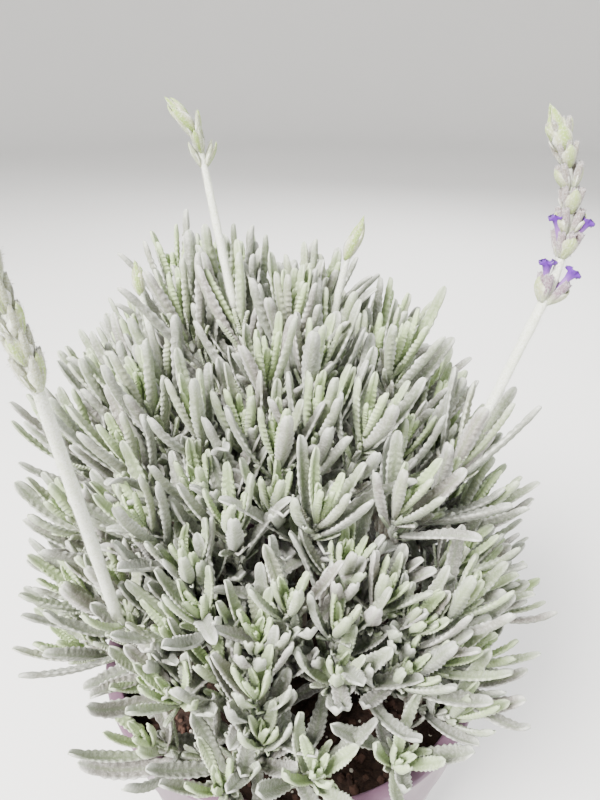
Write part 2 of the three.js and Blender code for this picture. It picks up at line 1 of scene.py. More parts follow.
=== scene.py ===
"""A silver-leaved lavender in a round nursery pot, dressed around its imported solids.

Metres, +Z up, origin on the table under the middle of the pot, the front of the plant at -Y. The stems and
shoots run where the solids' stems and shoots run, worked out by the same rule.
"""
import math
import random
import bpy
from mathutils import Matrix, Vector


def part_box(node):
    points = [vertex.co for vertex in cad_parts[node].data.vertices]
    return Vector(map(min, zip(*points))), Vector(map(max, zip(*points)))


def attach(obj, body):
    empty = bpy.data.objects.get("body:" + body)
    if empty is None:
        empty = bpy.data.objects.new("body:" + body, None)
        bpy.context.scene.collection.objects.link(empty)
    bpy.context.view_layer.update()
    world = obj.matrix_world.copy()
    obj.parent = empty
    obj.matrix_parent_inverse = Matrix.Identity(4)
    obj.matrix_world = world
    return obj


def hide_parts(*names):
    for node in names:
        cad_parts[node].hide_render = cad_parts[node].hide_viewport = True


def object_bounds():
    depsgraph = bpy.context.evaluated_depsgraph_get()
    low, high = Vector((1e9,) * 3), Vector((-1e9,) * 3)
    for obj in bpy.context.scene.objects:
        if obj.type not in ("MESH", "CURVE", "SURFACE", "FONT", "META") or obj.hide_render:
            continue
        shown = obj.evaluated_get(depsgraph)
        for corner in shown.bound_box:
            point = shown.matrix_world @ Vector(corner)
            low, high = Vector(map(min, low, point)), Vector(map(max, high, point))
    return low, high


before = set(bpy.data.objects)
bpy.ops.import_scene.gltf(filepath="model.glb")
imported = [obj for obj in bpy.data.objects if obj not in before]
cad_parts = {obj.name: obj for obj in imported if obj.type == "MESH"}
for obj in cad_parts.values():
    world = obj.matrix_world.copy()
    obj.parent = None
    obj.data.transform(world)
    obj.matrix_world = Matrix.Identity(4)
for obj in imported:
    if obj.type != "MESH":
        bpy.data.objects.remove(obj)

from types import SimpleNamespace

import bpy
import numpy as np
from bpy.props import FloatProperty, FloatVectorProperty, IntProperty, PointerProperty
from mathutils import Vector

bl_info = {
    "name": "Potted lavender",
    "version": (1, 0, 0),
    "blender": (4, 5, 0),
    "location": "View3D > Sidebar > Lavender",
    "description": "Builds a silver-leaved lavender in a nursery pot around its packed solids",
    "category": "Object",
}

MM = 0.001
CAD_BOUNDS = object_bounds()
BOX_LOW, BOX_HIGH = np.array(CAD_BOUNDS)
LIP_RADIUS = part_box("pot")[1].x
POT_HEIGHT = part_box("pot")[1].z

# ---- the pot, as the solids have it ----
POT_BASE_RADIUS = 52 * MM
POT_WALL = 2 * MM
LIP_WIDTH = 5.5 * MM
LIP_THICK = 2.4 * MM
COLLAR_HEIGHT = 26 * MM
COLLAR_STEP = 1 * MM
POT_FLOOR = 2.6 * MM
DRAIN_HOLES = 6
DRAIN_HOLE_RADIUS = 4 * MM
DRAIN_RING = 36 * MM
INNER_RADIUS = LIP_RADIUS - LIP_WIDTH
SOIL_TOP = POT_HEIGHT - 13 * MM
GAP = 0.35 * MM
SHARP_EDGE = math.radians(50)  # the pot's edges that turn more than this stay crisp

# ---- the soil ----
SOIL_RINGS = 26
RING_RISE = 1e-7  # between rings on the flat top, before it is given its relief
GRAIN_EVERY = 14  # one crumb in so many is a pale grain
GRAIN_SIZES = (0.9 * MM, 1.7 * MM)
CHIP_SIZES = (1.4, 5.2)  # in millimetres, before a further share of it is taken

# ---- where stems and shoots run, as the solids have it ----
SEED = 2
STEMS = 20
SIDE_SHOOTS = 3
CROWN = np.array((0, 10 * MM, SOIL_TOP + 3 * MM))
CROWN_RADIUS = 33 * MM
FORKS = (0.3, 0.42, 0.53)  # where side shoots leave the stem, as shares of its length
STEM_RADIUS = 1.7 * MM
SHOOT_RADIUS = 1.25 * MM
ROOT_DEPTH = 16 * MM
FILL_SHOOTS = 4  # more side shoots of each stem, that the solids leave out
FILL_FORKS = (0.36, 0.47, 0.6, 0.4)
FILL_DISTANCE = 21 * MM
FILL_DEPTH = -7 * MM  # how far they stay under the mound's surface
FRONT = -0.35  # a shoot whose way has at most this Y faces the front
RIM_SIDE = 0.5  # and stands aside from its middle if its way has more than this X, left or right
RIM_RISE = 0.27  # and over the rim if its way has less than this Z
SIDE_SPACING = 20 * MM
SPREAD_DISTANCE = 29 * MM
SPREAD_ROUNDS = 80
KEPT_FREE = 36 * MM  # how much of each flower stem, below the leaves' surface, other shoots keep away from
SIDE_REACH = 80 * MM
TOP_RISE = 58 * MM
FRONT_REACH = 83 * MM
FRONT_RISE = 60 * MM
FRONT_FADE = 0.4
MOUND_CENTRE = np.array((0, 10 * MM, POT_HEIGHT))
LEAN = np.array((-0.13, 0.08, 0))
TOP_RISING = 0.42  # how far shoots turn upwards at the mound's top
SIDE_RISING = 0.5  # how much more at its sides
FRONT_RISING = 2.4  # and how much more again at its front
WIDEST_TILT = 1.2
LOWEST_TILT = 1.42
TILT_POWER = 0.6
GOLDEN_ANGLE = math.pi * (3 - math.sqrt(5))
SHORT_SHOOT = 34 * MM  # a shorter shoot has its leaves closer together
FLOWER_LEAF_DROP = 8 * MM  # how much lower the leaves of a flowering stem stand
UP = np.array((0.0, 0.0, 1.0))

# Flowering stems, in millimetres above the rim: where each leaves the leaves, the foot and the tip of its
# spike. second is where a spike's second whorl sits, as a share of its length, and bow its bow sideways.
# long is how long its bracts and calyces are for their width, and ripe how far they have coloured and opened.
# bud is its end bud: its start as a share of the spike, its half width, and how far its outer tips part.
FLOWERS = {
    "right_spike": dict(start=(60, -8, 100), neck=(76.5, 0, 141), tip=(72.5, 10, 196), radius=1.7, bow=0.12,
                        whorls=7, second=0.27, size=1.05, long=1.03, open=2, ripe=1.0, bud=(0.755, 3.3, 0.2)),
    "left_spike": dict(start=(-54, -46, 62), neck=(-53, -66, 146), tip=(-65, -61, 202), radius=1.8, bow=0,
                       whorls=9, second=0.13, size=0.88, long=1.25, open=0, ripe=0.3, bud=(0.78, 2.5, 0.5)),
    "back_spike": dict(start=(-21, 22, 138), neck=(-29.5, 39, 175), tip=(-40, 39, 196), radius=1.4, bow=0.12,
                       whorls=3, second=0.22, size=0.8, long=1.3, open=0, ripe=0.1, bud=(0.46, 2.4, 1.9)),
    "middle_bud": dict(start=(14, 27, 124), neck=(18, 30, 146), tip=(23.5, 31, 160), radius=1.3, bow=0.12,
                       whorls=0, second=0, size=0.55, long=1, open=0, ripe=0, bud=(0.0, 2.4, 0.2)),
    "left_bud": dict(start=(-47, 16, 118), neck=(-51, 20, 137), tip=(-52, 22, 148), radius=1.3, bow=0.12,
                     whorls=0, second=0, size=0.55, long=1, open=0, ripe=0, bud=(0.0, 2.4, 0.2)),
}
YOUNG_WHORLS = 3  # a spike with no more whorls than this is a young one
FIRST_WHORL = 0.03
TIP_BUD = 0.18  # the share of a spike above its last whorl
YOUNG_BUD = 0.6
TAPER = 0.43  # how much smaller a spike's whorls are at its tip
YOUNG_OPENNESS = 0.65  # how far the bracts and calyces of an unripe spike stand open
# Bracts: half width, splay, and how far the tip turns back in, on a grown spike and on a young one.
GROWN_BRACT = (3.4 * MM, 5.4 * MM, 1.4 * MM)
YOUNG_BRACT = (2.7 * MM, 5.0 * MM, 0.0)
BRACT_THICK = 0.4 * MM
BRACT_CUP = 0.75
GROWN_CALYX_TURNS = (-0.8, 0.0, 0.8)  # where calyces stand round each bract
YOUNG_CALYX_TURNS = (-0.4, 0.4)
CALYX_RADIUS = 1.45 * MM
CALYX_HAIRS = 60
# Pairs of bracts that close an end bud: foot and tip as shares of the bud, size, and how far the tips part.
BUD_PAIRS = ((0, 0.8, 1, 1), (0.12, 0.93, 0.86, 0.5), (0.26, 1.04, 0.62, 0.0))
BUD_ROOT = 0.5 * MM  # from the spike's axis
BUD_BULGE = 0.63  # how much of its splay a closed bract reaches at its widest
FLORET_LENGTH = 9.6 * MM
FLORET_RADIUS = 3.1 * MM
FLORET_SIDES = 20
STALK_HAIRS = 26  # for each millimetre of bare stem

# ---- leaves ----
# The pairs of leaves on a shoot, oldest first: root below the shoot's end, length, half width, splay and arch
# in millimetres, age from 0, just open, to 1, and the face of the shoot that the pair starts on.
LEAF_PAIRS = (
    (22, 36, 3.15, 19, 3, 1.0, 1),
    (13, 36, 3.0, 14.5, 2, 0.85, 0),
    (8, 32, 2.7, 11, 1, 0.65, 1),
    (4.5, 26.5, 2.35, 7.5, 0.3, 0.42, 0),
    (2, 21, 2.0, 4.6, 0, 0.22, 1),
    (0.5, 15, 1.65, 2.4, 0, 0.06, 0),
    (-0.5, 9, 1.2, 0.9, 0, 0.0, 1),
)
# The same for the old leaves further down a shoot.
OLD_PAIRS = (
    (32, 36, 3.3, 22, 4, 1.1, 0),
    (43, 35, 3.4, 24, 5, 1.2, 1),
    (55, 33, 3.3, 25, 6, 1.3, 0),
    (67, 31, 3.2, 25, 6, 1.35, 1),
)
OLD_SHARE = 0.8  # how far down a stem old leaves still stand, as a share of its length
SIDE_OLD_SHARE = 0.62  # and how far down a side shoot
RIM_OLD_PAIRS = 2  # the most pairs of old leaves where a shoot hangs over the rim
FLOWER_LEAF_END = 4  # a flowering stem has only the pairs further below its end than this, in millimetres
TUFTED_PAIRS = 3  # pairs with small leaves in their axils
TUFT_LEAVES = 3
TUFT_UPTURN = 0.45
TUFT_THICK = 0.8
LOW_OPENNESS = 1.12  # how wide leaves spread on a level shoot
TOP_OPENNESS = 0.76  # and on an upright one
LONG_LEAF_RISE = 0.75  # shoots that stand at least this upright may have long curved leaves
LONG_LEAF_CHANCE = 0.35
LONG_LEAF_STRETCH = 1.3
LONG_LEAF_ARCH = 7 * MM
LONG_LEAF_WIDTH = 0.9
UPTURN_BELOW = 0.6  # a leaf that rises less steeply than this turns its tip up
LIFT_SHORTENS = 0.3
HAIR_RADIUS = 0.045 * MM
LEAF_THICK = 0.72 * MM  # half of it
TEETH = 8
FIRST_TOOTH = 0.1  # where a leaf's teeth start and end, as shares of its length
LAST_TOOTH = 0.76
WIDEST = 0.6  # where it is widest
SMALL_LEAF = 17 * MM  # leaves shorter than this are copies of the simpler leaf
SMALL_TEETH = 5
LEAF_FITS = ((1, 1), (0.8, 1), (1.2, 1), (1, 0.88), (0.7, 0.9), (1.4, 0.9), (1, 0.75))  # splay and length
LEAF_ROOM = 2.5 * MM  # that a leaf keeps from those of other shoots
LEAF_OVERREACH = 2 * MM  # that its tip may stand out of the solids' box
OVERREACH_COST = 4
CROWD_CELL = 4 * MM

# ---- the stage ----
CAMERA_PLACE = (2.5 * MM, -188 * MM, POT_HEIGHT + 212 * MM)
CAMERA_PITCH = math.radians(29)  # down from level
FOCAL_PIXELS = 650
IMAGE_HEIGHT = 800
SENSOR = 36
# The floor: a wide disc that curves up into a low wall all round, so that no view shows its end.
FLOOR_RADIUS = 2.4
WALL_RADIUS = 3.4
WALL_TOP = 2.2
WALL_STEPS = 12
# Lamps: name, place, aim, size, power and colour.
LAMPS = (
    ("key", (-0.7, -0.75, 1.25), (0, 0, 0.2), 0.6, 118, (1.0, 0.98, 0.95)),
    ("fill", (1.0, -0.55, 0.75), (0, 0, 0.2), 1.2, 15, (0.95, 0.97, 1.0)),
    ("back", (0.25, 0.95, 0.95), (0, 0, 0.22), 0.9, 26, (1.0, 1.0, 1.0)),
)
WORLD = (0.9, 0.92, 0.95)
WORLD_STRENGTH = 0.72


# ---- vectors and routes ----
def unit(v):
    return v / np.linalg.norm(v)


def units(rows):
    return rows / np.linalg.norm(rows, axis=1)[:, None]


def square_to(along, v):
    """The part of v that stands square to along, one long."""
    return unit(v - along * (v @ along))


def rightwards(v):
    """Square to v, level from front to back, and to the viewer's right of a line that rises."""
    return unit(np.array((v[2], 0, -v[0])))


def lerp(a, b, share):
    return a + (b - a) * share


def scatter(item, use):
    """A repeatable number from -1 to 1."""
    s = math.sin(item * 12.9898 + use * 78.233 + SEED) * 43758.5453
    return 2 * (s - math.floor(s)) - 1


class Route:
    """A line through points, read by the share of its length."""

    def __init__(self, points):
        self.points = np.array(points)
        steps = np.linalg.norm(np.diff(self.points, axis=0), axis=1)
        self.shares = np.concatenate(([0], np.cumsum(steps)))
        self.length = self.shares[-1]
        self.shares = self.shares / self.length

    def at(self, share):
        return np.array([np.interp(share, self.shares, self.points[:, k]) for k in range(3)]).T

    def step(self, share):
        """A short step along the line, at one share or at many."""
        return self.at(np.minimum(1, share + 0.01)) - self.at(np.maximum(0, share - 0.01))

    def tangent(self, share):
        return unit(self.step(share))


def bend(start, leaving, end, arriving):
    """The route of a shoot that leaves one way and arrives another."""
    span = np.linalg.norm(end - start)
    a = start + leaving * 0.3 * span
    b = end - arriving * 0.38 * span
    t = np.linspace(0, 1, 81)[:, None]
    return Route((1 - t) ** 3 * start + 3 * t * (1 - t) ** 2 * a + 3 * t**2 * (1 - t) * b + t**3 * end)


# ---- the plant's layout ----
def mound_points(directions, lift=0.0):
    """Where the mound's surface lies in each direction from its centre."""
    d = np.atleast_2d(directions)
    tilt = np.arccos(np.clip(d[:, 2], -1, 1))
    flat = np.hypot(d[:, 0], d[:, 1])
    front = np.maximum(0, -d[:, 1] / np.maximum(flat, 1e-9)) ** 2
    even = SIDE_REACH + TOP_RISE * np.cos(tilt) ** 3
    scooped = FRONT_REACH + FRONT_RISE * np.exp(-tilt / FRONT_FADE)
    points = d * (lerp(even, scooped, front) + lift)[:, None]
    return points + LEAN * points[:, 2:] + MOUND_CENTRE


def direction_at(tilt, turn):
    return np.array((math.sin(tilt) * math.cos(turn), math.sin(tilt) * math.sin(turn), math.cos(tilt)))


def besides(direction, index, k):
    """A side shoot's direction from the mound's centre, beside that of its stem."""
    reach = np.linalg.norm(mound_points(direction)[0] - MOUND_CENTRE)
    level = unit(np.array((-direction[1], direction[0], 0.001)))
    slope = np.cross(direction, level)
    turn = 2 * math.pi * (k + scatter(index, 2) * 0.5) / SIDE_SHOOTS
    return unit(direction * reach + SIDE_SPACING * (level * math.cos(turn) + slope * math.sin(turn)))


def spread_out(stems, distance_kept, held):
    """Shoots crowd each other apart until they share the mound evenly; those that are held stay."""
    shoots = [shoot for stem in stems for shoot in stem.shoots]
    outward = np.array([s.outward for s in shoots])
    blooming = np.array([s.flower is not None for s in shoots])[:, None]
    held = np.array([held(s) for s in shoots])[:, None]
    flowers = [s.flower for s in shoots if s.flower]
    starts = np.array([s.flower.start if s.flower else UP for s in shoots])
    guards = [f.start - f.leaning * share * KEPT_FREE for f in flowers for share in (0.5, 1)]
    for _ in range(SPREAD_ROUNDS):
        points = np.where(blooming, starts, mound_points(outward))
        gaps = points[:, None] - np.vstack((points, guards))[None]
        distance = np.linalg.norm(gaps, axis=2)
        near = (distance < distance_kept) & (distance > 1e-9)
        share = np.where(near, 0.3 * (distance_kept - distance) / np.where(near, distance, 1), 0)
        moved = points + (gaps * share[..., None]).sum(axis=1) - MOUND_CENTRE
        moved = units(moved - LEAN * moved[:, 2:])
        for i, m in enumerate(moved):
            if math.acos(m[2]) >= LOWEST_TILT:
                moved[i] = direction_at(LOWEST_TILT, math.atan2(m[1], m[0]))
        outward = np.where(held, outward, moved)
    for shoot, way in zip(shoots, outward):
        shoot.outward = way


def above_rim(place):
    return np.array(place) * MM + np.array((0, 0, POT_HEIGHT))


def flower_places():
    """The flowering stems, with their places and sizes in metres."""
    flowers = []
    for name, given in FLOWERS.items():
        flower = SimpleNamespace(**given, name=name)
        flower.start, flower.neck, flower.tip = (above_rim(given[key]) for key in ("start", "neck", "tip"))
        flower.leaning = unit(flower.neck - flower.start)
        flower.radius *= MM
        flower.grown = flower.whorls > YOUNG_WHORLS
        flowers.append(flower)
    return flowers


def lay_out():
    """Every stem with its shoots. The first shoot is the stem's own end."""
    stems = []
    for i in range(STEMS):
        tilt = WIDEST_TILT * ((i + 0.5) / STEMS) ** TILT_POWER
        stems.append(SimpleNamespace(index=i, direction=direction_at(tilt, i * GOLDEN_ANGLE), flower=None))
    for flower in flower_places():
        towards = unit(flower.start - MOUND_CENTRE)
        nearest = max((s for s in stems if not s.flower), key=lambda s: s.direction @ towards)
        nearest.flower, nearest.direction = flower, towards
    for stem in stems:
        ways = [stem.direction] + [besides(stem.direction, stem.index, k) for k in range(SIDE_SHOOTS)]
        stem.shoots = [SimpleNamespace(outward=way, flower=None if k else stem.flower, filler=False)
                       for k, way in enumerate(ways)]
    spread_out(stems, SPREAD_DISTANCE, lambda s: s.flower is not None)
    for stem in stems:
        ways = [besides(stem.direction, stem.index + 2 * STEMS, k + 0.5) for k in range(FILL_SHOOTS)]
        stem.shoots += [SimpleNamespace(outward=way, flower=None, filler=True) for way in ways]
    spread_out(stems, FILL_DISTANCE, lambda s: not s.filler)
    for stem in stems:
        stem.shoots = [shoot for shoot in stem.shoots if not (shoot.filler and over_rim(shoot))]
        lay_out_shoots(stem)
    return stems


def over_rim(shoot):
    """Whether a shoot hangs over the rim at the front's left or right, which stays in sight."""
    x, y, z = shoot.outward
    return abs(x) > RIM_SIDE and y < FRONT and z < RIM_RISE


def lay_out_shoots(stem):
    """Each shoot's route from the stem's foot, or from where it forks off, to its place on the mound."""
    middle = unit(sum(s.outward for s in stem.shoots if not s.filler))
    tilt = math.acos(middle[2])
    away = unit(np.array((middle[0], middle[1], 0)))
    stem.foot = CROWN + away * CROWN_RADIUS * min(1, tilt / WIDEST_TILT)
    leaving = unit(away * 0.35 * tilt + UP)
    main = None
    for k, shoot in enumerate(stem.shoots):
        shoot.main = k == 0
        shoot.fork = (0, *FORKS, *FILL_FORKS)[k]
        shoot.id = 1000 + stem.index * 10 + k if shoot.filler else stem.index * (SIDE_SHOOTS + 1) + k
        if shoot.flower:
            shoot.end, shoot.direction = shoot.flower.start, shoot.flower.leaning
        else:
            end_shoot(shoot)
        if shoot.main:
            main = shoot.route = bend(stem.foot, leaving, shoot.end, shoot.direction)
        else:
            start = main.at(shoot.fork)
            away = unit(unit(shoot.end - start) + main.tangent(shoot.fork))
            shoot.route = bend(start, away, shoot.end, shoot.direction)
        set_faces(shoot, main)


def end_shoot(shoot):
    """A leafy shoot's end near the mound's surface, and the way that it points there."""
    depth = FILL_DEPTH if shoot.filler else 0
    shoot.end = mound_points(shoot.outward, depth + 5 * MM * scatter(shoot.id, 1))[0]
    lean = 0.07 * np.array((scatter(shoot.id, 5), scatter(shoot.id, 6), 0))
    x, y, z = shoot.outward
    front = max(0, -y / math.hypot(x, y)) ** 2
    rising = TOP_RISING + (SIDE_RISING + FRONT_RISING * front) * (1 - z)
    shoot.direction = unit(shoot.outward * 0.8 + UP * rising + lean)


def set_faces(shoot, main):
    """The four ways that a shoot's leaves spread, square to its end."""
    if shoot.main:
        turn = math.pi * scatter(shoot.id, 3)
        east = np.array((math.cos(turn), math.sin(turn), 0))
        stops = (0, *FORKS)
    else:
        east = -main.tangent(shoot.fork)
        stops = (0,)
    for stop in (*stops, 0.8):
        east = square_to(shoot.route.tangent(stop), east)
    east = square_to(shoot.direction, east)
    north = np.cross(shoot.direction, east)
    shoot.faces = (east, north, -east, -north)


def plant_layout():
    """The stems, with the leafy ones numbered as their nodes are."""
    stems = lay_out()
    leafy = [stem for stem in stems if not stem.flower]
    for number, stem in enumerate(leafy, 1):
        stem.node = f"leafy_stem_{number:02d}"
    for stem in stems:
        if stem.flower:
            stem.node = "flowering_stem_" + stem.flower.name
    return stems


# ---- modelling one of each ----
def alone(obj):
    bpy.ops.object.select_all(action="DESELECT")
    obj.select_set(True)
    bpy.context.view_layer.objects.active = obj


def pick(obj, test):
    """Selects the vertices whose place passes the test, and leaves the object in edit mode."""
    if obj.mode == "EDIT":
        bpy.ops.object.mode_set(mode="OBJECT")
    mesh = obj.data
    mesh.polygons.foreach_set("select", [False] * len(mesh.polygons))
    mesh.edges.foreach_set("select", [False] * len(mesh.edges))
    mesh.vertices.foreach_set("select", [bool(test(*v.co)) for v in mesh.vertices])
    bpy.ops.object.mode_set(mode="EDIT")
    bpy.ops.mesh.select_mode(type="VERT")


def pick_end(obj, sides):
    """Selects the last face with so many sides that looks up, and leaves the object in edit mode."""
    bpy.ops.object.mode_set(mode="EDIT")
    bpy.ops.mesh.select_mode(type="FACE")
    bpy.ops.mesh.select_all(action="DESELECT")
    bpy.ops.object.mode_set(mode="OBJECT")
    ends = [p for p in obj.data.polygons if len(p.vertices) == sides and p.normal.z > 0.9]
    ends[-1].select = True
    bpy.ops.object.mode_set(mode="EDIT")


def resize(x, y):
    bpy.ops.transform.resize(value=(x, y, 1), center_override=(0, 0, 0))


def extrude(rise):
    bpy.ops.mesh.extrude_region_move(TRANSFORM_OT_translate={"value": (0, 0, rise)})


def turned_form(name, sides, stations, closed_tip=True):
    """A ring of so many sides, extruded through (height, width, depth) stations along Z."""
    bpy.ops.object.select_all(action="DESELECT")
    bpy.ops.mesh.primitive_circle_add(vertices=sides, radius=1, fill_type="NGON")
    obj = bpy.context.object
    obj.name = name
    bpy.ops.object.mode_set(mode="EDIT")
    bpy.ops.mesh.select_all(action="SELECT")
    height, width, depth = stations[0]
    resize(width, depth)
    bpy.ops.transform.translate(value=(0, 0, height))
    for (z0, w0, d0), (z1, w1, d1) in zip(stations, stations[1:]):
        extrude(z1 - z0)
        resize(w1 / w0, d1 / d0)
    if closed_tip:
        bpy.ops.mesh.merge(type="CENTER")
    bpy.ops.mesh.select_all(action="SELECT")
    bpy.ops.mesh.normals_make_consistent(inside=False)
    bpy.ops.object.mode_set(mode="OBJECT")
    return obj


def round_form(name, sides, stations, closed_tip=False):
    """The same, through (height, radius) stations."""
    return turned_form(name, sides, [(z, r, r) for z, r in stations], closed_tip)


def model_of(obj):
    """A finished model's vertices and faces as arrays, ready to be copied; the object is removed."""
    if obj.mode == "EDIT":
        bpy.ops.object.mode_set(mode="OBJECT")
    mesh = obj.data
    co = np.empty(len(mesh.vertices) * 3)
    mesh.vertices.foreach_get("co", co)
    corners = np.empty(len(mesh.loops), np.int32)
    mesh.loops.foreach_get("vertex_index", corners)
    sizes = np.empty(len(mesh.polygons), np.int32)
    mesh.polygons.foreach_get("loop_total", sizes)
    bpy.data.objects.remove(obj)
    bpy.data.meshes.remove(mesh)
    return SimpleNamespace(co=co.reshape(-1, 3), corners=corners, sizes=sizes)


def leaf_outline(share):
    """Half width of a leaf at a share of its length: narrow root, widest past the middle, finger-like tip."""
    if share < WIDEST:
        width = 0.5 + 0.5 * math.sin(math.pi / 2 * share / WIDEST) ** 1.2
    else:
        width = lerp(1, 0.66, min(1, (share - WIDEST) / 0.26) ** 1.3)
    rounding = math.sqrt(max(0.05, 1 - (max(0, share - 0.88) / 0.123) ** 2))
    return width * rounding


def leaf_model(name, teeth, notch, bead):
    """A leaf one unit long, wide and thick: rounded teeth along each edge, then a smooth tip.

    notch is how deep its edge goes in between two teeth, and bead how much thinner the leaf is there.
    """
    stations = [(0, 0.5, 0.9)]
    for k in range(2 * teeth + 1):
        share = lerp(FIRST_TOOTH, LAST_TOOTH, k / (2 * teeth))
        peak = k % 2
        stations.append((share, leaf_outline(share) * (1 if peak else 1 - notch), 1 if peak else 1 - bead))
    for share in (0.83, 0.9, 0.95, 0.985):
        stations.append((share, leaf_outline(share), 1.05 - max(0, share - 0.83) * 2.5))
    stations.append((1, 0.1, 0.2))
    leaf = turned_form(name, 6, stations)
    middle = 1e-4
    pick(leaf, lambda x, y, z: abs(x) < middle and y > 0)
    resize(1, 0.2)
    pick(leaf, lambda x, y, z: abs(x) > middle and y > 0)
    resize(0.84, 1.75)
    pick(leaf, lambda x, y, z: abs(x) > middle and y < 0)
    resize(1.15, 0.7)
    return model_of(leaf)


def bract_model():
    """A broad pointed bract, one unit long and wide."""
    stations = [(0, 0.35, 1), (0.1, 0.62, 1), (0.25, 0.9, 1), (0.42, 1, 1), (0.6, 0.86, 1), (0.76, 0.58, 0.9),
                (0.9, 0.26, 0.8), (1, 0.06, 0.5)]
    bract = turned_form("bract_model", 8, stations)
    middle = 1e-4
    pick(bract, lambda x, y, z: abs(x) > middle and y > middle)
    resize(0.85, 1.1)
    return model_of(bract)


def stem_model():
    """A length of stem, slightly thicker at the joints where leaves stood."""
    rings, joint = 24, 4
    stations = [(k / rings, 1.08 if k % joint == 2 else 1) for k in range(rings + 1)]
    return model_of(round_form("stem_model", 8, stations))


def calyx_model():
    """A ribbed woolly tube with a toothed mouth."""
    ribs, mouth = 5, 0.99

    def on_rib(x, y):
        return round(math.atan2(y, x) / (math.pi / ribs) + 0.5) % 2 == 0

    stations = [(0, 0.45), (0.15, 0.75), (0.45, 1), (0.78, 0.96), (0.94, 0.86), (1, 0.8)]
    calyx = round_form("calyx_model", 2 * ribs, stations)
    pick(calyx, lambda x, y, z: z > mouth)
    extrude(-0.12)
    resize(0.6, 0.6)
    pick(calyx, lambda x, y, z: z > mouth and on_rib(x, y))
    bpy.ops.transform.translate(value=(0, 0, 0.1))
    pick(calyx, lambda x, y, z: 0.1 < z < mouth and not on_rib(x, y))
    resize(0.82, 0.82)
    return model_of(calyx)


def floret_model():
    """A narrow tube that opens into five rounded lobes, one unit long."""
    stations = [(0, 0.2), (0.3, 0.26), (0.62, 0.34), (0.82, 0.52), (0.93, 0.95), (1, 1)]
    floret = round_form("floret_model", FLORET_SIDES, stations)
    for rise, share in ((-0.06, 0.86), (-0.1, 0.5), (-0.3, 0.5)):
        pick_end(floret, FLORET_SIDES)
        extrude(rise)
        resize(share, share)
    model = model_of(floret)
    x, y, _ = model.co.T
    lobe = 0.5 + 0.5 * np.cos(5 * np.arctan2(y, x))
    outer = np.clip((np.hypot(x, y) - 0.45) / 0.5, 0, 1)
    model.co[:, :2] *= (1 - outer * 0.5 * (1 - lobe) ** 1.5)[:, None]
    model.co[:, 2] -= outer * (0.1 * lobe)
    return model


def crumb_models():
    """Three splinters of bark and a rounder crumb of peat."""
    models = []
    for k, size in enumerate(((1, 0.5, 0.24), (0.8, 0.6, 0.34), (0.9, 0.36, 0.3), None)):
        bpy.ops.object.select_all(action="DESELECT")
        if size:
            bpy.ops.mesh.primitive_cube_add(size=1)
            bpy.ops.object.mode_set(mode="EDIT")
            bpy.ops.transform.resize(value=size, center_override=(0, 0, 0))
            bpy.ops.mesh.bevel(offset=0.09, segments=1)
            bpy.ops.transform.vertex_random(offset=0.07, seed=k + 1)
        else:
            bpy.ops.mesh.primitive_ico_sphere_add(subdivisions=1, radius=0.5)
            bpy.ops.object.mode_set(mode="EDIT")
            bpy.ops.transform.vertex_random(offset=0.12, seed=9)
        models.append(model_of(bpy.context.object))
    return models


def plant_models():
    return SimpleNamespace(
        leaf=leaf_model("leaf_model", TEETH, notch=0.16, bead=0.3),
        small_leaf=leaf_model("small_leaf_model", SMALL_TEETH, notch=0.14, bead=0.42),
        stem=stem_model(), calyx=calyx_model(), floret=floret_model(), bract=bract_model())


# ---- growing many copies into one piece ----
class Growth:
    """A piece in the making: copies of the models, each bent into its own place."""

    def __init__(self, models=None, draw=None):
        self.models = models
        self.draw = draw
        self.count = 0
        self.parts = []

    def add(self, model, points, material, across, along, age, tone=0.0):
        """across and along say where each vertex lies on its leaf, and age how old it is there."""
        place = np.empty((len(points), 3))
        place[:, 0], place[:, 1], place[:, 2] = across, along, age
        finishes = np.full(len(model.sizes), material)
        tones = np.full(len(points), tone)
        self.parts.append((points, model.corners + self.count, model.sizes, finishes, place, tones))
        self.count += len(points)

    def finish(self, name, materials, slot, replaces=()):
        columns = [np.concatenate(column) for column in zip(*self.parts)]
        points, corners, sizes, finishes, places, tones = columns
        mesh = bpy.data.meshes.new(name)
        mesh.vertices.add(len(points))
        mesh.loops.add(len(corners))
        mesh.polygons.add(len(sizes))
        mesh.vertices.foreach_set("co", points.ravel())
        mesh.loops.foreach_set("vertex_index", corners)
        mesh.polygons.foreach_set("loop_start", (np.cumsum(sizes) - sizes).astype(np.int32))
        mesh.polygons.foreach_set("material_index", finishes.astype(np.int32))
        mesh.polygons.foreach_set("use_smooth", np.ones(len(sizes), bool))
        mesh.update(calc_edges=True)
        mesh.attributes.new("leaf_place", "FLOAT_VECTOR", "POINT").data.foreach_set("vector", places.ravel())
        mesh.attributes.new("leaf_tone", "FLOAT", "POINT").data.foreach_set("value", tones)
        for material in materials:
            mesh.materials.append(material)
        piece = bpy.data.objects.new(name, mesh)
        bpy.context.collection.objects.link(piece)
        settle(piece, slot, replaces)
        return piece


def settle(piece, slot, replaces=()):
    """Ties a finished piece to the frame."""
    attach(piece, "root")
    if replaces:
        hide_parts(*replaces)


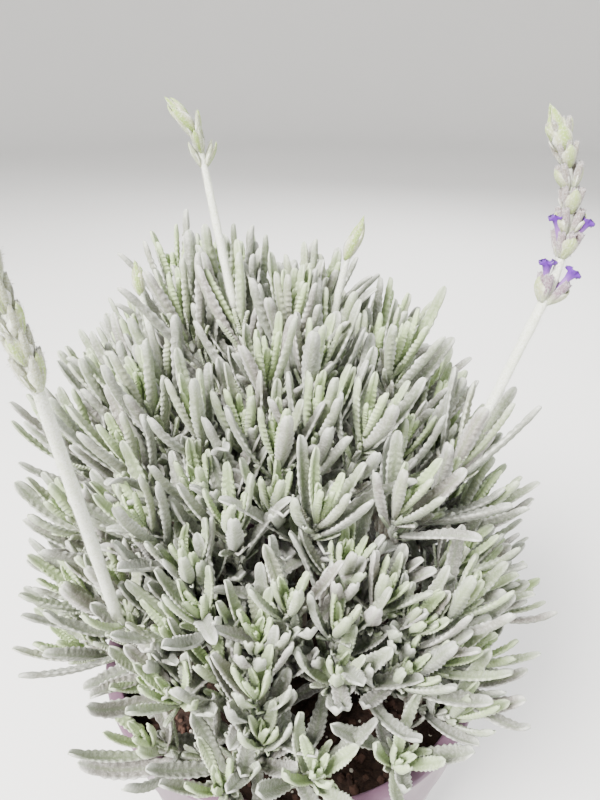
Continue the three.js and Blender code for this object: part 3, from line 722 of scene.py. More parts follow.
class Leaf(SimpleNamespace):
    """A leaf or bract: its root, the ways along and out from its shoot, its size and its bends and folds."""

    cup = 0.0
    upturn = 0
    thick = LEAF_THICK

    def changed(self, **changes):
        return Leaf(**{**vars(self), **changes})

    def shape(self):
        """Works out its rise for its splay, how its tip nods for its arch, and its turn upwards."""
        spread = min(0.9, self.splay / self.length)
        self.rise = math.sqrt(max(0.2, 1 - spread**2))
        self.nod = min(0.28, 0.9 * max(0, self.arch) / self.length)
        level = self.along[2] * self.rise + self.out[2] * spread
        lifted = self.upturn * max(0, min(0.9, UPTURN_BELOW - level))
        self.lift = self.length * lifted
        self.rise *= 1 - LIFT_SHORTENS * lifted

    def line(self, shares):
        """Its middle line: out from its root, then up beside the shoot, then over at its tip."""
        v = np.array(shares)[:, None]
        line = self.root + self.along * (self.length * self.rise) * (v - self.nod * v**3)
        line = line + self.out * (self.splay * v * (2 - v) + self.arch * v**3)
        return line + np.cross(self.along, self.out) * self.sway * v**2 + UP * self.lift * v**2

    def heading(self, shares):
        """Which way that line goes, leaving out its sway."""
        v = np.array(shares)[:, None]
        rising = self.along * self.length * self.rise * (1 - 3 * self.nod * v**2)
        spreading = self.out * (self.splay * (2 - 2 * v) + 3 * self.arch * v**2)
        return units(rising + spreading + UP * 2 * self.lift * v)


def grow_leaf(growth, model, leaf, material):
    """A copy of a leaf, bent along its line."""
    x, y, v = model.co.T
    heading = leaf.heading(v)
    across = np.cross(leaf.along, leaf.out)
    across = units(across - heading * (heading @ across)[:, None])
    normal = np.cross(heading, across)
    twist = (leaf.twist * v)[:, None]
    side = across * np.cos(twist) + normal * np.sin(twist)
    normal = normal * np.cos(twist) - across * np.sin(twist)
    wide = (x * leaf.half_width)[:, None]
    deep = (y * leaf.thick)[:, None] + leaf.fold * np.abs(wide) + leaf.cup * wide**2 / leaf.half_width
    growth.add(model, leaf.line(v) + side * wide + normal * deep, material, x, v, leaf.age, leaf.tone)


def grow_tube(growth, route, radii, material, ages, tone=0.0):
    """A copy of the stem, bent along a route. radii and ages are given at shares of its length."""
    model = growth.models.stem
    x, y, v = model.co.T
    shares, ring = np.unique(np.round(v, 6), return_inverse=True)
    east, frames = np.array((1.0, 0.02, 0.03)), []
    for share in shares:
        along = route.tangent(share)
        east = square_to(along, east)
        frames.append((east, np.cross(along, east)))
    easts, norths = np.array(frames).transpose(1, 0, 2)[:, ring]
    radius = np.interp(shares, *radii)[ring]
    points = route.at(shares)[ring] + (easts * x[:, None] + norths * y[:, None]) * radius[:, None]
    growth.add(model, points, material, x, v, np.interp(v, *ages), tone)


def grow_hairs(growth, roots, ways, lengths, material, age):
    """Fine wool: a three-sided spike from each root."""
    aside = units(np.cross(ways, UP + 0.01))
    third = np.cross(ways, aside)
    corners = (aside, third * 0.866 - aside * 0.5, -third * 0.866 - aside * 0.5)
    points = np.stack([roots + c * HAIR_RADIUS for c in corners] + [roots + ways * lengths[:, None]], axis=1)
    first = 4 * np.arange(len(roots))[:, None]
    faces = (first + np.array([[0, 1, 3, 1, 2, 3, 2, 0, 3, 0, 2, 1]])).ravel()
    hair = SimpleNamespace(corners=faces, sizes=np.full(4 * len(roots), 3))
    growth.add(hair, points.reshape(-1, 3), material, 1.0, 0.5, age)


def grow_wool(growth, route, radii, count, length, material, age, shares=(0, 1)):
    """Wool all round a stem, leaning a little towards its tip."""
    draw = growth.draw
    on = np.array([draw.uniform(*shares) for _ in range(count)])
    turns = np.array([draw.uniform(0, 2 * math.pi) for _ in range(count)])[:, None]
    centres = route.at(on)
    along = units(route.step(on))
    east = units(np.cross(along, (0.02, 1, 0.03)))
    out = east * np.cos(turns) + np.cross(along, east) * np.sin(turns)
    lean = np.array([[draw.gauss(0, 0.45) for _ in range(3)] for _ in range(count)])
    ways = units(out + along * 0.25 + lean)
    lengths = length * np.array([draw.uniform(0.5, 1.3) for _ in range(count)])
    grow_hairs(growth, centres + out * np.interp(on, *radii)[:, None] * 0.94, ways, lengths, material, age)


class Crowd:
    """Where leaves already are, so that a new one can keep clear of those of other shoots."""

    def __init__(self, cell):
        self.cell = cell
        self.cells = {}

    def add(self, owner, points):
        for p in points:
            self.cells.setdefault(tuple((p // self.cell).astype(int)), []).append((owner, p))

    def room(self, owner, points):
        """The least distance from these points to any of another owner, up to a cell's size."""
        least = self.cell
        for p in points:
            i, j, k = (p // self.cell).astype(int)
            for cell in [(i + a, j + b, k + c) for a in (-1, 0, 1) for b in (-1, 0, 1) for c in (-1, 0, 1)]:
                for other, q in self.cells.get(cell, ()):
                    if other != owner:
                        least = min(least, math.dist(p, q))
        return least


# ---- materials ----
class Value:
    """A node's output. Arithmetic on it adds Math nodes."""

    def __init__(self, finish, socket):
        self.finish = finish
        self.socket = socket

    def calc(self, operation, *others):
        return self.finish.math(operation, self, *others)

    def __add__(self, other):
        return self.calc("ADD", other)

    def __sub__(self, other):
        return self.calc("SUBTRACT", other)

    def __rsub__(self, other):
        return self.finish.math("SUBTRACT", other, self)

    def __mul__(self, other):
        return self.calc("MULTIPLY", other)

    __radd__ = __add__
    __rmul__ = __mul__

    def clamped(self):
        return self.calc("MINIMUM", 1).calc("MAXIMUM", 0)

    def other(self, name):
        """Another output of the same node."""
        return Value(self.finish, self.socket.node.outputs[name])


class Finish:
    """A material in the making, with the shader's own sockets set once."""

    def __init__(self, name, sockets):
        self.material = bpy.data.materials.new(name)
        self.material.use_nodes = True
        self.tree = self.material.node_tree
        self.shader = self.tree.nodes["Principled BSDF"]
        self.shader.distribution = "GGX"
        for key, value in sockets.items():
            self.shader.inputs[key].default_value = value

    def node(self, kind, settings, sockets, output=0):
        """Adds a node: its settings first, then the values or links of its sockets."""
        node = self.tree.nodes.new(kind)
        for key, value in settings.items():
            setattr(node, key, value)
        for key, value in sockets.items() if isinstance(sockets, dict) else enumerate(sockets):
            if isinstance(value, Value):
                self.tree.links.new(value.socket, node.inputs[key])
            else:
                node.inputs[key].default_value = value
        return Value(self, node.outputs[output])

    def math(self, operation, *values):
        return self.node("ShaderNodeMath", {"operation": operation}, values)

    def feed(self, key, value):
        self.tree.links.new(value.socket, self.shader.inputs[key])

    def coords(self):
        return self.node("ShaderNodeTexCoord", {}, {}, "Object")

    def noise(self, size, detail=3, roughness=0.6, distortion=0):
        """Noise whose blotches are about so large, in metres."""
        sockets = {"Vector": self.coords(), "Scale": 1 / size, "Detail": detail, "Roughness": roughness,
                   "Distortion": distortion}
        return self.node("ShaderNodeTexNoise", {}, sockets)

    def mix(self, first, second, share, blend="MIX"):
        """Mixes two colours, each a link or red, green and blue."""
        first, second = (c if isinstance(c, Value) else (*c, 1.0) for c in (first, second))
        settings = {"data_type": "RGBA", "blend_type": blend}
        return self.node("ShaderNodeMix", settings, {0: share, 6: first, 7: second}, 2)

    def band(self, value, low, high):
        """0 below low, 1 above high, smooth between."""
        return self.node("ShaderNodeMapRange", {"interpolation_type": "SMOOTHSTEP"},
                         {"Value": value, "From Min": low, "From Max": high})

    def done(self, body, relief, distance, strength):
        """Feeds the colour, and bumps the surface by the relief, as far as distance."""
        sockets = {"Height": relief, "Distance": distance, "Strength": strength}
        self.feed("Base Color", body)
        self.feed("Normal", self.node("ShaderNodeBump", {}, sockets))
        return self.material


def felted(name, roughness, specular, sheen, sheen_roughness, tint):
    """A finish under a nap of fine hairs, which catches light at its edges."""
    return Finish(name, {"Roughness": roughness, "Specular IOR Level": specular, "Sheen Weight": sheen,
                         "Sheen Roughness": sheen_roughness, "Sheen Tint": (*tint, 1)})


def shaded(colour, factor):
    return tuple(c * factor for c in colour)


def leaf_place(finish):
    """How far across and along its leaf a point lies, the leaf's age there, and its own tone."""
    place = finish.node("ShaderNodeAttribute", {"attribute_name": "leaf_place"}, {}, "Vector")
    parts = finish.node("ShaderNodeSeparateXYZ", {}, [place])
    tone = finish.node("ShaderNodeAttribute", {"attribute_name": "leaf_tone"}, {}, "Fac")
    return SimpleNamespace(across=parts, along=parts.other("Y"), age=parts.other("Z"), tone=tone)


def felt_finish(colours):
    """Silver felt over grey-green, greener when young. White wool at the edges and tip, laid on thickly as a
    painted highlight; beads painted paler and notches darker, and the fold greener and darker, as painted
    shade.
    """
    f = felted("felted_leaf", 0.92, 0.15, 0.35, 0.45, (0.93, 0.95, 0.9))
    at = leaf_place(f)
    mottle = f.noise(0.9 * MM, 4, 0.65)
    hair = f.noise(0.22 * MM, 3, 0.7)
    drift = f.noise(28 * MM, 2, 0.5)
    edge = at.across.calc("ABSOLUTE")
    beads = (at.along * (2 * math.pi * TEETH / (LAST_TOOTH - FIRST_TOOTH)) + 2.2).calc("COSINE")
    # quilt follows the beads between the teeth; it bumps the surface and also paints their light and shade.
    quilt = beads * f.band(edge, 0.1, 0.5) * (1 - f.band(at.along, 0.72, 0.8))
    maturity = f.band(at.age + (drift - 0.5) * 0.5 + at.tone * 0.12, 0.12, 0.85)
    woolly = maturity * 0.5 + 0.5
    # White wool along the edges and towards the tip: partly real felt, partly a painted highlight.
    rim = f.band(edge, 0.58, 1.02) * 0.6 + f.band(at.along, 0.8, 1) * 0.4
    # Green in the midrib fold and in the felt's hollows, where the mottle is low: real green showing, made
    # darker there as painted shade.
    fold = (1 - f.band(edge, 0.02, 0.3)) * 0.34 + f.band(0.42 - mottle, 0, 0.16) * 0.3
    # A colour multiplier: quilt paints the beads lighter and the notches between them darker, as painted
    # shade; the tone and mottle terms are random tone.
    tone_and_painted_shade = at.tone * 0.07 + 1 + quilt * 0.035 + (mottle - 0.5) * 0.3
    body = f.mix(colours.leaf_young, colours.leaf_grown, maturity)
    body = f.mix(body, colours.leaf_rosy, maturity * f.band(at.tone, 0.2, 1) * 0.7)
    body = f.mix(body, colours.leaf_old, f.band(at.age + at.tone * 0.15, 0.85, 1.3))
    body = f.mix(body, colours.wool, (rim * woolly).clamped())
    body = f.mix(body, colours.wool, f.band(mottle, 0.42, 0.75) * 0.27 * woolly)
    body = f.mix(body, colours.leaf_fold, fold.clamped())
    body = f.mix(body, f.node("ShaderNodeCombineColor", {}, [tone_and_painted_shade] * 3), 1.0, "MULTIPLY")
    return f.done(body, mottle * 0.5 + hair * 0.35 + quilt * 0.35, 0.5 * MM, 0.9)


def wool_finish(colours):
    """White wool on young stems, with grey-brown wood showing where they are old."""
    f = felted("woolly_stem", 0.95, 0.1, 0.5, 0.4, (1, 1, 0.97))
    age = leaf_place(f).age
    strands = f.noise(0.5 * MM, 4, 0.7, distortion=1.2)
    patches = f.noise(3 * MM, 3, 0.6)
    wood = f.mix(colours.wood, shaded(colours.wood, 0.45), f.band(strands, 0.35, 0.7))
    wool = f.mix(colours.stem, colours.wool, f.band(strands, 0.35, 0.65))
    wool = f.mix(wool, colours.leaf_young, f.band(patches, 0.5, 0.75) * 0.3)
    body = f.mix(wool, wood, f.band(age + (patches - 0.5) * 0.7, 0.45, 0.85))
    return f.done(body, strands + patches * 0.4, 0.5 * MM, 0.8)


def bract_finish(colours):
    """Pale green bracts with woolly cream rims."""
    f = felted("woolly_bract", 0.9, 0.15, 0.45, 0.4, (1, 1, 0.95))
    at = leaf_place(f)
    mottle = f.noise(0.6 * MM, 4, 0.65)
    edge = at.across.calc("ABSOLUTE")
    veins = (at.across * 22).calc("COSINE") * 0.5 + 0.5
    rim = f.band(edge, 0.6, 1) * 0.6 + f.band(mottle, 0.45, 0.75) * 0.45
    body = f.mix(colours.bract, colours.bract_green, f.band(1 - edge, 0.35, 0.9) * (1 - at.age * 0.75))
    body = f.mix(body, colours.wool, rim.clamped())
    body = f.mix(body, colours.calyx, f.band(at.age + mottle * 0.5, 0.9, 1.5) * 0.35)
    return f.done(body, mottle + veins * 0.25, 0.4 * MM, 0.8)


def calyx_finish(colours):
    """Greyish mauve calyces under white wool, greener at their feet and while young."""
    f = felted("woolly_calyx", 0.95, 0.1, 0.6, 0.35, (0.97, 0.93, 1))
    at = leaf_place(f)
    wool = f.noise(0.45 * MM, 4, 0.7)
    ripe = f.band(at.along + at.tone * 0.1, 0.12, 0.6) * at.age
    body = f.mix(colours.calyx_base, colours.calyx, ripe)
    body = f.mix(body, colours.wool, f.band(wool, 0.4, 0.7) * 0.38)
    return f.done(body, wool, 0.4 * MM, 0.9)


def petal_finish(colours):
    """Violet petals, paler at the tube and dark in the throat."""
    f = felted("violet_petal", 0.55, 0.3, 0.25, 0.5, (0.8, 0.7, 1))
    at = leaf_place(f)
    grain = f.noise(0.7 * MM, 3, 0.6)
    throat = (1 - f.band(at.across, 0.1, 0.45)) * f.band(at.along, 0.6, 0.7)
    body = f.mix(colours.petal_tube, colours.petal, f.band(at.along + (grain - 0.5) * 0.2, 0.45, 0.85))
    body = f.mix(body, shaded(colours.petal, 0.35), throat)
    return f.done(body, grain, 0.25 * MM, 0.5)


def pot_finish(colours):
    """Satin mauve plastic, with a painted highlight along the top of its lip, and faintly dusty towards its
    foot.
    """
    f = Finish("pot_plastic", {"IOR": 1.48, "Coat Weight": 0.06, "Coat Roughness": 0.3})
    height = f.node("ShaderNodeSeparateXYZ", {}, [f.coords()]).other("Z")
    cloud = f.noise(22 * MM, 4, 0.55)
    grain = f.noise(0.45 * MM, 3, 0.6)
    scuffs = f.noise(2.6 * MM, 5, 0.75, distortion=2.5)
    # The top 0.6 mm of the lip is painted paler than the rest of the pot: a painted highlight.
    painted_lip_highlight = f.band(height, POT_HEIGHT - 0.6 * MM, POT_HEIGHT) * 0.35
    dust = f.band(scuffs, 0.58, 0.8) * (0.25 + 0.75 * (1 - f.band(height, 4 * MM, 45 * MM)))
    body = f.mix(colours.pot, shaded(colours.pot, 0.86), f.band(cloud, 0.38, 0.7))
    body = f.mix(body, shaded(colours.pot, 1.22), painted_lip_highlight)
    body = f.mix(body, colours.dust, dust * 0.22)
    f.feed("Roughness", 0.36 + f.band(cloud, 0.3, 0.75) * 0.12 + dust * 0.25)
    return f.done(body, grain * 0.5 + scuffs * 0.3, 0.12 * MM, 0.5)


def soil_finish(colours):
    """Dark damp peat."""
    f = Finish("potting_mix", {"Roughness": 0.95, "Specular IOR Level": 0.2})
    crumbs = f.noise(2.2 * MM, 6, 0.75)
    fibre = f.noise(0.7 * MM, 5, 0.75, distortion=1.5)
    body = f.mix(colours.soil, shaded(colours.soil, 0.4), f.band(crumbs, 0.4, 0.62))
    body = f.mix(body, colours.bark, f.band(fibre, 0.55, 0.75) * 0.55)
    return f.done(body, crumbs + fibre * 0.5, 1.6 * MM, 1.0)


def bark_finish(colours):
    """Reddish bark, each chip with its own tone, and a few pale grains."""
    f = Finish("bark_chip", {"Roughness": 0.88, "Specular IOR Level": 0.25})
    at = leaf_place(f)
    fibre = f.noise(0.8 * MM, 5, 0.7, distortion=2)
    tone = at.tone * 0.5 + 0.5 + (fibre - 0.5) * 0.8
    body = f.mix(shaded(colours.bark, 0.35), colours.bark, tone.clamped())
    return f.done(f.mix(body, colours.grit, at.age), fibre, 0.6 * MM, 0.9)


def floor_finish(colours):
    f = Finish("pale_floor", {"Roughness": 0.7, "Specular IOR Level": 0.2})
    f.feed("Base Color", f.mix(colours.floor, shaded(colours.floor, 0.97), f.noise(180 * MM, 3, 0.5)))
    return f.material


# Materials of the plant's pieces, in their order on each piece.
LEAF, WOOL, BRACT, CALYX, PETAL = range(5)
PLANT_FINISHES = (felt_finish, wool_finish, bract_finish, calyx_finish, petal_finish)


# ---- settings that a user would change ----
def length(name, description, default):
    return FloatProperty(name=name, description=description, default=default, min=0, precision=4,
                         unit="LENGTH")


def colour(name, description, default):
    return FloatVectorProperty(name=name, description=description, default=default, size=3, min=0, max=1,
                               subtype="COLOR")


class LavenderPot(bpy.types.PropertyGroup):
    lip_radius: length("Lip radius", "Radius of the pot over its lip", LIP_RADIUS)
    height: length("Height", "Height of the pot", POT_HEIGHT)
    crumbs: IntProperty(name="Crumbs", description="Chips of bark on the soil", default=1300, min=0)


class LavenderPlant(bpy.types.PropertyGroup):
    leaf_thickness: length("Leaf thickness", "Half the thickness of a leaf", LEAF_THICK)
    openness: FloatProperty(name="Openness", description="How far leaves spread from their shoot",
                            default=1.0, min=0.3, max=2)
    bract_length: length("Bract length", "Length of a grown bract", 8.6 * MM)
    calyx_length: length("Calyx length", "Length of a grown calyx", 7.4 * MM)


class LavenderColours(bpy.types.PropertyGroup):
    leaf_young: colour("Young leaf", "Colour of the newest leaves", (0.42, 0.535, 0.25))
    leaf_grown: colour("Grown leaf", "Colour of grown leaves", (0.218, 0.228, 0.184))
    leaf_rosy: colour("Rosy leaf", "Colour that some grown leaves turn towards", (0.255, 0.215, 0.205))
    leaf_old: colour("Old leaf", "Colour of the oldest leaves", (0.175, 0.165, 0.15))
    # The fold colour is darker than the grown leaf, so the fold also carries painted shade.
    leaf_fold: colour("Leaf fold", "Green that shows in a leaf's fold", (0.15, 0.21, 0.09))
    wool: colour("Wool", "Colour of the white wool", (0.88, 0.885, 0.84))
    stem: colour("Stem", "Colour of young stems under their wool", (0.62, 0.65, 0.49))
    wood: colour("Wood", "Colour of old stems", (0.32, 0.27, 0.21))
    bract: colour("Bract", "Colour of the bracts", (0.40, 0.41, 0.25))
    bract_green: colour("Bract green", "Green in the middle of a bract", (0.26, 0.36, 0.09))
    calyx: colour("Calyx", "Colour of the calyces", (0.17, 0.10, 0.14))
    calyx_base: colour("Calyx base", "Colour of a calyx at its foot", (0.32, 0.36, 0.21))
    petal: colour("Petal", "Colour of the open florets", (0.08, 0.003, 0.235))
    petal_tube: colour("Petal tube", "Colour of a floret's tube", (0.22, 0.09, 0.33))
    pot: colour("Pot", "Colour of the pot", (0.14, 0.078, 0.118))
    dust: colour("Dust", "Colour of dust on the pot", (0.55, 0.49, 0.45))
    soil: colour("Soil", "Colour of the peat", (0.055, 0.032, 0.024))
    bark: colour("Bark", "Colour of bark chips", (0.085, 0.045, 0.033))
    grit: colour("Grit", "Colour of pale grains in the soil", (0.62, 0.58, 0.5))
    floor: colour("Floor", "Colour of the floor", (0.78, 0.77, 0.75))


# ---- the pot and the soil ----
def pot_profile(pot):
    """The pot's outline from the middle of its underside, out, over the lip and down to its floor."""
    base = POT_BASE_RADIUS
    lip, top = pot.lip_radius, pot.height
    under_lip = top - LIP_THICK
    collar = top - COLLAR_HEIGHT
    inner = lip - LIP_WIDTH
    outer = inner + POT_WALL
    # A radius and a height for each point, and how far it lies out and up from there, in millimetres.
    corners = (
        (base, 0, -2, 0), (base, 0, -0.6, 0.6), (base, 0, 0, 2),
        (outer - COLLAR_STEP, collar, -0.8, -1.2), (outer - COLLAR_STEP, collar, -0.5, -0.9),
        (outer, collar, -0.8, -0.1), (outer, collar, -0.55, 0.3),
        (outer, under_lip, 0, -0.8), (outer, under_lip, 0.4, -0.15), (outer, under_lip, 0.9, 0),
        (lip, under_lip, -0.8, 0), (lip, under_lip, -0.2, 0.3), (lip, under_lip, 0, 0.9),
        (lip, top, 0, -0.9), (lip, top, -0.25, -0.3), (lip, top, -0.9, 0),
        (inner, top, 1.1, -0.15), (inner, top, 0.3, -0.5), (inner, top, 0, -1.2),
        (inner - COLLAR_STEP, collar, 0.15, 0.6), (inner - COLLAR_STEP, collar, 0, 0),
        (base - POT_WALL, POT_FLOOR, 0.6, 1.5), (base - POT_WALL, POT_FLOOR, -1, 0),
    )
    return [(height + up * MM, radius + out * MM) for radius, height, out, up in corners]


class LAVENDER_OT_pot(bpy.types.Operator):
    """Turns the pot with its rolled lip and collar, and bores its drain holes"""

    bl_idname = "lavender.pot"
    bl_label = "Pot"

    def execute(self, context):
        pot = round_form("nursery_pot", 128, pot_profile(context.scene.lavender_pot))
        for k in range(DRAIN_HOLES):
            turn = 2 * math.pi * (k + 0.5) / DRAIN_HOLES
            bpy.ops.object.select_all(action="DESELECT")
            bpy.ops.mesh.primitive_cylinder_add(
                vertices=32, radius=DRAIN_HOLE_RADIUS, depth=4 * POT_FLOOR,
                location=(DRAIN_RING * math.cos(turn), DRAIN_RING * math.sin(turn), 0))
            borer = context.object
            alone(pot)
            cut = pot.modifiers.new("drain", "BOOLEAN")
            cut.object, cut.operation, cut.solver = borer, "DIFFERENCE", "EXACT"
            bpy.ops.object.modifier_apply(modifier=cut.name)
            bpy.data.objects.remove(borer)
        alone(pot)
        bpy.ops.object.shade_smooth_by_angle(angle=SHARP_EDGE)
        pot.data.materials.append(pot_finish(context.scene.lavender_colours))
        settle(pot, "pot_plastic", ["pot"])
        return {"FINISHED"}


def soil_relief(x, y):
    """The soil's uneven top: the three waves of the solid, and smaller crumbs on them."""
    x, y = x / MM, y / MM
    waves = 0.7 * np.sin(0.13 * x + 0.6) * np.cos(0.11 * y) + 0.5 * np.sin(0.29 * x - 0.23 * y)
    waves = waves + 0.3 * np.cos(0.41 * y + 0.2 * x)
    small = 0.35 * np.sin(0.9 * x + 0.5 * y) * np.cos(0.8 * y - 0.6 * x)
    small = small + 0.2 * np.sin(1.9 * x) * np.sin(1.7 * y)
    return (waves + small) * MM


def turned(spin, tip, roll):
    """A turn about Z after small tips about X and Y, as a matrix."""
    c, s = math.cos(spin), math.sin(spin)
    about_z = np.array(((c, -s, 0), (s, c, 0), (0, 0, 1)))
    c, s = math.cos(tip), math.sin(tip)
    about_x = np.array(((1, 0, 0), (0, c, -s), (0, s, c)))
    c, s = math.cos(roll), math.sin(roll)
    about_y = np.array(((c, 0, s), (0, 1, 0), (-s, 0, c)))
    return about_z @ about_x @ about_y


class LAVENDER_OT_soil(bpy.types.Operator):
    """Fills the pot with damp potting mix and strews bark chips and pale grains over it"""

    bl_idname = "lavender.soil"
    bl_label = "Potting mix"

    def execute(self, context):
        colours = context.scene.lavender_colours
        reach = INNER_RADIUS - 0.6 * MM - GAP
        stations = [(POT_FLOOR + GAP, POT_BASE_RADIUS - POT_WALL - 1.2 * MM),
                    (POT_HEIGHT - COLLAR_HEIGHT, INNER_RADIUS - COLLAR_STEP - GAP),
                    (SOIL_TOP - 3 * MM, reach), (SOIL_TOP - 1.2 * MM, reach - 0.2 * MM)]
        stations += [(SOIL_TOP + k * RING_RISE, reach * (1 - k / SOIL_RINGS)) for k in range(1, SOIL_RINGS)]
        soil = round_form("potting_mix", 96, stations, closed_tip=True)
        mesh = soil.data
        co = np.empty(len(mesh.vertices) * 3)
        mesh.vertices.foreach_get("co", co)
        co = co.reshape(-1, 3)
        top = co[:, 2] > SOIL_TOP - 0.5 * MM
        co[top, 2] = SOIL_TOP + soil_relief(co[top, 0], co[top, 1])
        mesh.vertices.foreach_set("co", co.ravel())
        alone(soil)
        bpy.ops.object.shade_smooth()
        mesh.materials.append(soil_finish(colours))
        settle(soil, "potting_mix", ["soil"])
        self.strew(context.scene.lavender_pot.crumbs, reach, colours)
        return {"FINISHED"}

    def strew(self, count, reach, colours):
        draw = random.Random(SEED)
        models = crumb_models()
        crumbs = Growth()
        for k in range(count):
            grain = k % GRAIN_EVERY == 0
            if grain:
                size, model = draw.uniform(*GRAIN_SIZES), models[-1]
            else:
                size = draw.uniform(*CHIP_SIZES) * MM * draw.uniform(0.6, 1)
                model = models[draw.randrange(len(models))]
            radius = (reach - 2.2 * MM) * math.sqrt(draw.random())
            turn = draw.uniform(0, 2 * math.pi)
            x, y = radius * math.cos(turn), radius * math.sin(turn)
            flat = turned(draw.uniform(0, 2 * math.pi), draw.gauss(0, 0.35), draw.gauss(0, 0.35))
            lift = soil_relief(x, y) + size * draw.uniform(0.02, 0.16)
            points = model.co @ flat.T * size + np.array((x, y, SOIL_TOP + lift))
            edge = np.hypot(points[:, 0], points[:, 1])
            points[:, :2] *= np.minimum(1, (reach - 0.2 * MM) / edge)[:, None]
            crumbs.add(model, points, 0, 0, 0, grain, draw.uniform(-1, 1))
        alone(crumbs.finish("bark_chips", [bark_finish(colours)], "potting_mix"))
        bpy.ops.object.shade_flat()


# ---- the plant ----
def shoot_leaves(shoot, draw, openness):
    """The leaves of one shoot, oldest first, with the small ones in their axils."""
    reach = shoot.route.length
    drop = FLOWER_LEAF_DROP if shoot.flower else 0
    squeeze = min(1, reach / SHORT_SHOOT)
    open_by = openness * draw.uniform(0.88, 1.2) * lerp(LOW_OPENNESS, TOP_OPENNESS, max(0, shoot.outward[2]))
    old = [p for p in OLD_PAIRS if p[0] * MM < reach * (OLD_SHARE if shoot.main else SIDE_OLD_SHARE)]
    if over_rim(shoot):
        old = old[:RIM_OLD_PAIRS]
    young = [p for p in LEAF_PAIRS if not shoot.flower or p[0] > FLOWER_LEAF_END]
    leaves = []
    for order, (below, long, wide, splay, arch, age, first) in enumerate((*reversed(old), *young), -len(old)):
        share = 1 - (below * MM + drop) * squeeze / reach
        at = shoot.route.at(min(1, share)) + shoot.direction * max(0, -below * MM)
        tangent = shoot.route.tangent(max(0, min(1, share)))
        along = unit(tangent * (0.8 if order < 0 else 0.25) + shoot.direction)
        turn = draw.gauss(0, 0.16)
        for face in (first, first + 2):
            grown = draw.uniform(0.75, 1.05) if order < 0 else 1 + 0.14 * scatter(shoot.id * 4 + face, 4)
            out = shoot.faces[face] * math.cos(turn) + shoot.faces[(face + 1) % 4] * math.sin(turn)
            out = square_to(along, out)
            leaf = Leaf(
                along=along, out=out, root=at + out * SHOOT_RADIUS * (0.5 if below > 1 else 0.3), age=age,
                length=long * MM * grown * draw.uniform(0.93, 1.07),
                half_width=wide * MM * draw.uniform(0.86, 1.1),
                splay=splay * MM * open_by * draw.uniform(0.82, 1.2),
                arch=arch * MM * draw.uniform(-0.3, 1.6),
                tone=draw.uniform(-1, 1), twist=draw.gauss(0, 0.28), sway=draw.gauss(0, 1.4) * MM,
                fold=draw.uniform(0.36, 0.78), upturn=draw.uniform(0.4, 0.85))
            if order == 0 and shoot.outward[2] > LONG_LEAF_RISE and draw.random() < LONG_LEAF_CHANCE:
                leaf.length *= LONG_LEAF_STRETCH
                leaf.arch += LONG_LEAF_ARCH
                leaf.half_width *= LONG_LEAF_WIDTH
            leaves.append(leaf)
            if order < TUFTED_PAIRS:
                leaves += tuft(leaf, draw)
    return leaves


def tuft(leaf, draw):
    """Small young leaves in a leaf's axil."""
    small = []
    up = unit(leaf.along + leaf.out * 0.35)
    out = square_to(up, leaf.out)
    across = np.cross(up, out)
    size = draw.uniform(0.7, 1.15)
    for k in range(TUFT_LEAVES):
        turn = 2 * math.pi * (k + 0.25) / TUFT_LEAVES + draw.gauss(0, 0.2)
        small.append(Leaf(
            along=up, out=out * math.cos(turn) + across * math.sin(turn),
            root=leaf.root + leaf.out * 0.8 * MM + leaf.along * 0.6 * MM, age=0.25 + leaf.age * 0.35,
            length=draw.uniform(9, 15) * MM * size, half_width=draw.uniform(1.1, 1.6) * MM * size,
            splay=draw.uniform(2, 4.6) * MM * size, arch=draw.uniform(0, 1.4) * MM,
            tone=draw.uniform(-1, 1), twist=draw.gauss(0, 0.3), sway=draw.gauss(0, 0.6) * MM,
            fold=draw.uniform(0.3, 0.7), upturn=TUFT_UPTURN, thick=LEAF_THICK * TUFT_THICK))
    return small


def overreach(tip):
    """How much further than allowed a leaf's tip stands out of the solids' box, sideways."""
    out = max(*(BOX_LOW - tip)[:2], *(tip - BOX_HIGH)[:2])
    return max(0, out - LEAF_OVERREACH)


def fit_leaf(leaf, owner, crowd):
    """Tries smaller and differently spread leaves until one keeps clear of the other shoots' leaves."""
    best, most = leaf, -1.0
    for splay, long in LEAF_FITS:
        tried = leaf.changed(splay=leaf.splay * splay, length=leaf.length * long)
        tried.shape()
        line = tried.line((0.3, 0.5, 0.7, 0.85, 1.0))
        room = crowd.room(owner, line) - OVERREACH_COST * overreach(line[-1])
        if room > most:
            best, most = tried, room
        if room >= LEAF_ROOM:
            break
    crowd.add(owner, best.line((0.15, 0.3, 0.45, 0.6, 0.75, 0.9, 1.0)))
    return best


def grow_stem(growth, stem, crowd, plant):
    """A woody stem with its shoots and all their leaves."""
    for shoot in stem.shoots:
        route, thick, age = shoot.route, SHOOT_RADIUS, 0.8
        tone = growth.draw.uniform(-1, 1)
        if shoot.main:
            route = Route([stem.foot - UP * ROOT_DEPTH, *route.points])
            thick, age = STEM_RADIUS, 1.2
        radii = ((0, 0.7, 1), (thick * 1.05, SHOOT_RADIUS, SHOOT_RADIUS * 0.7))
        grow_tube(growth, route, radii, WOOL, ((0, 0.45, 0.8, 1), (age, 0.75, 0.25, 0)), tone)
        for leaf in shoot_leaves(shoot, growth.draw, plant.openness):
            leaf = fit_leaf(leaf, shoot.id, crowd)
            leaf.thick *= plant.leaf_thickness / LEAF_THICK
            model = growth.models.leaf if leaf.length > SMALL_LEAF else growth.models.small_leaf
            grow_leaf(growth, model, leaf, LEAF)


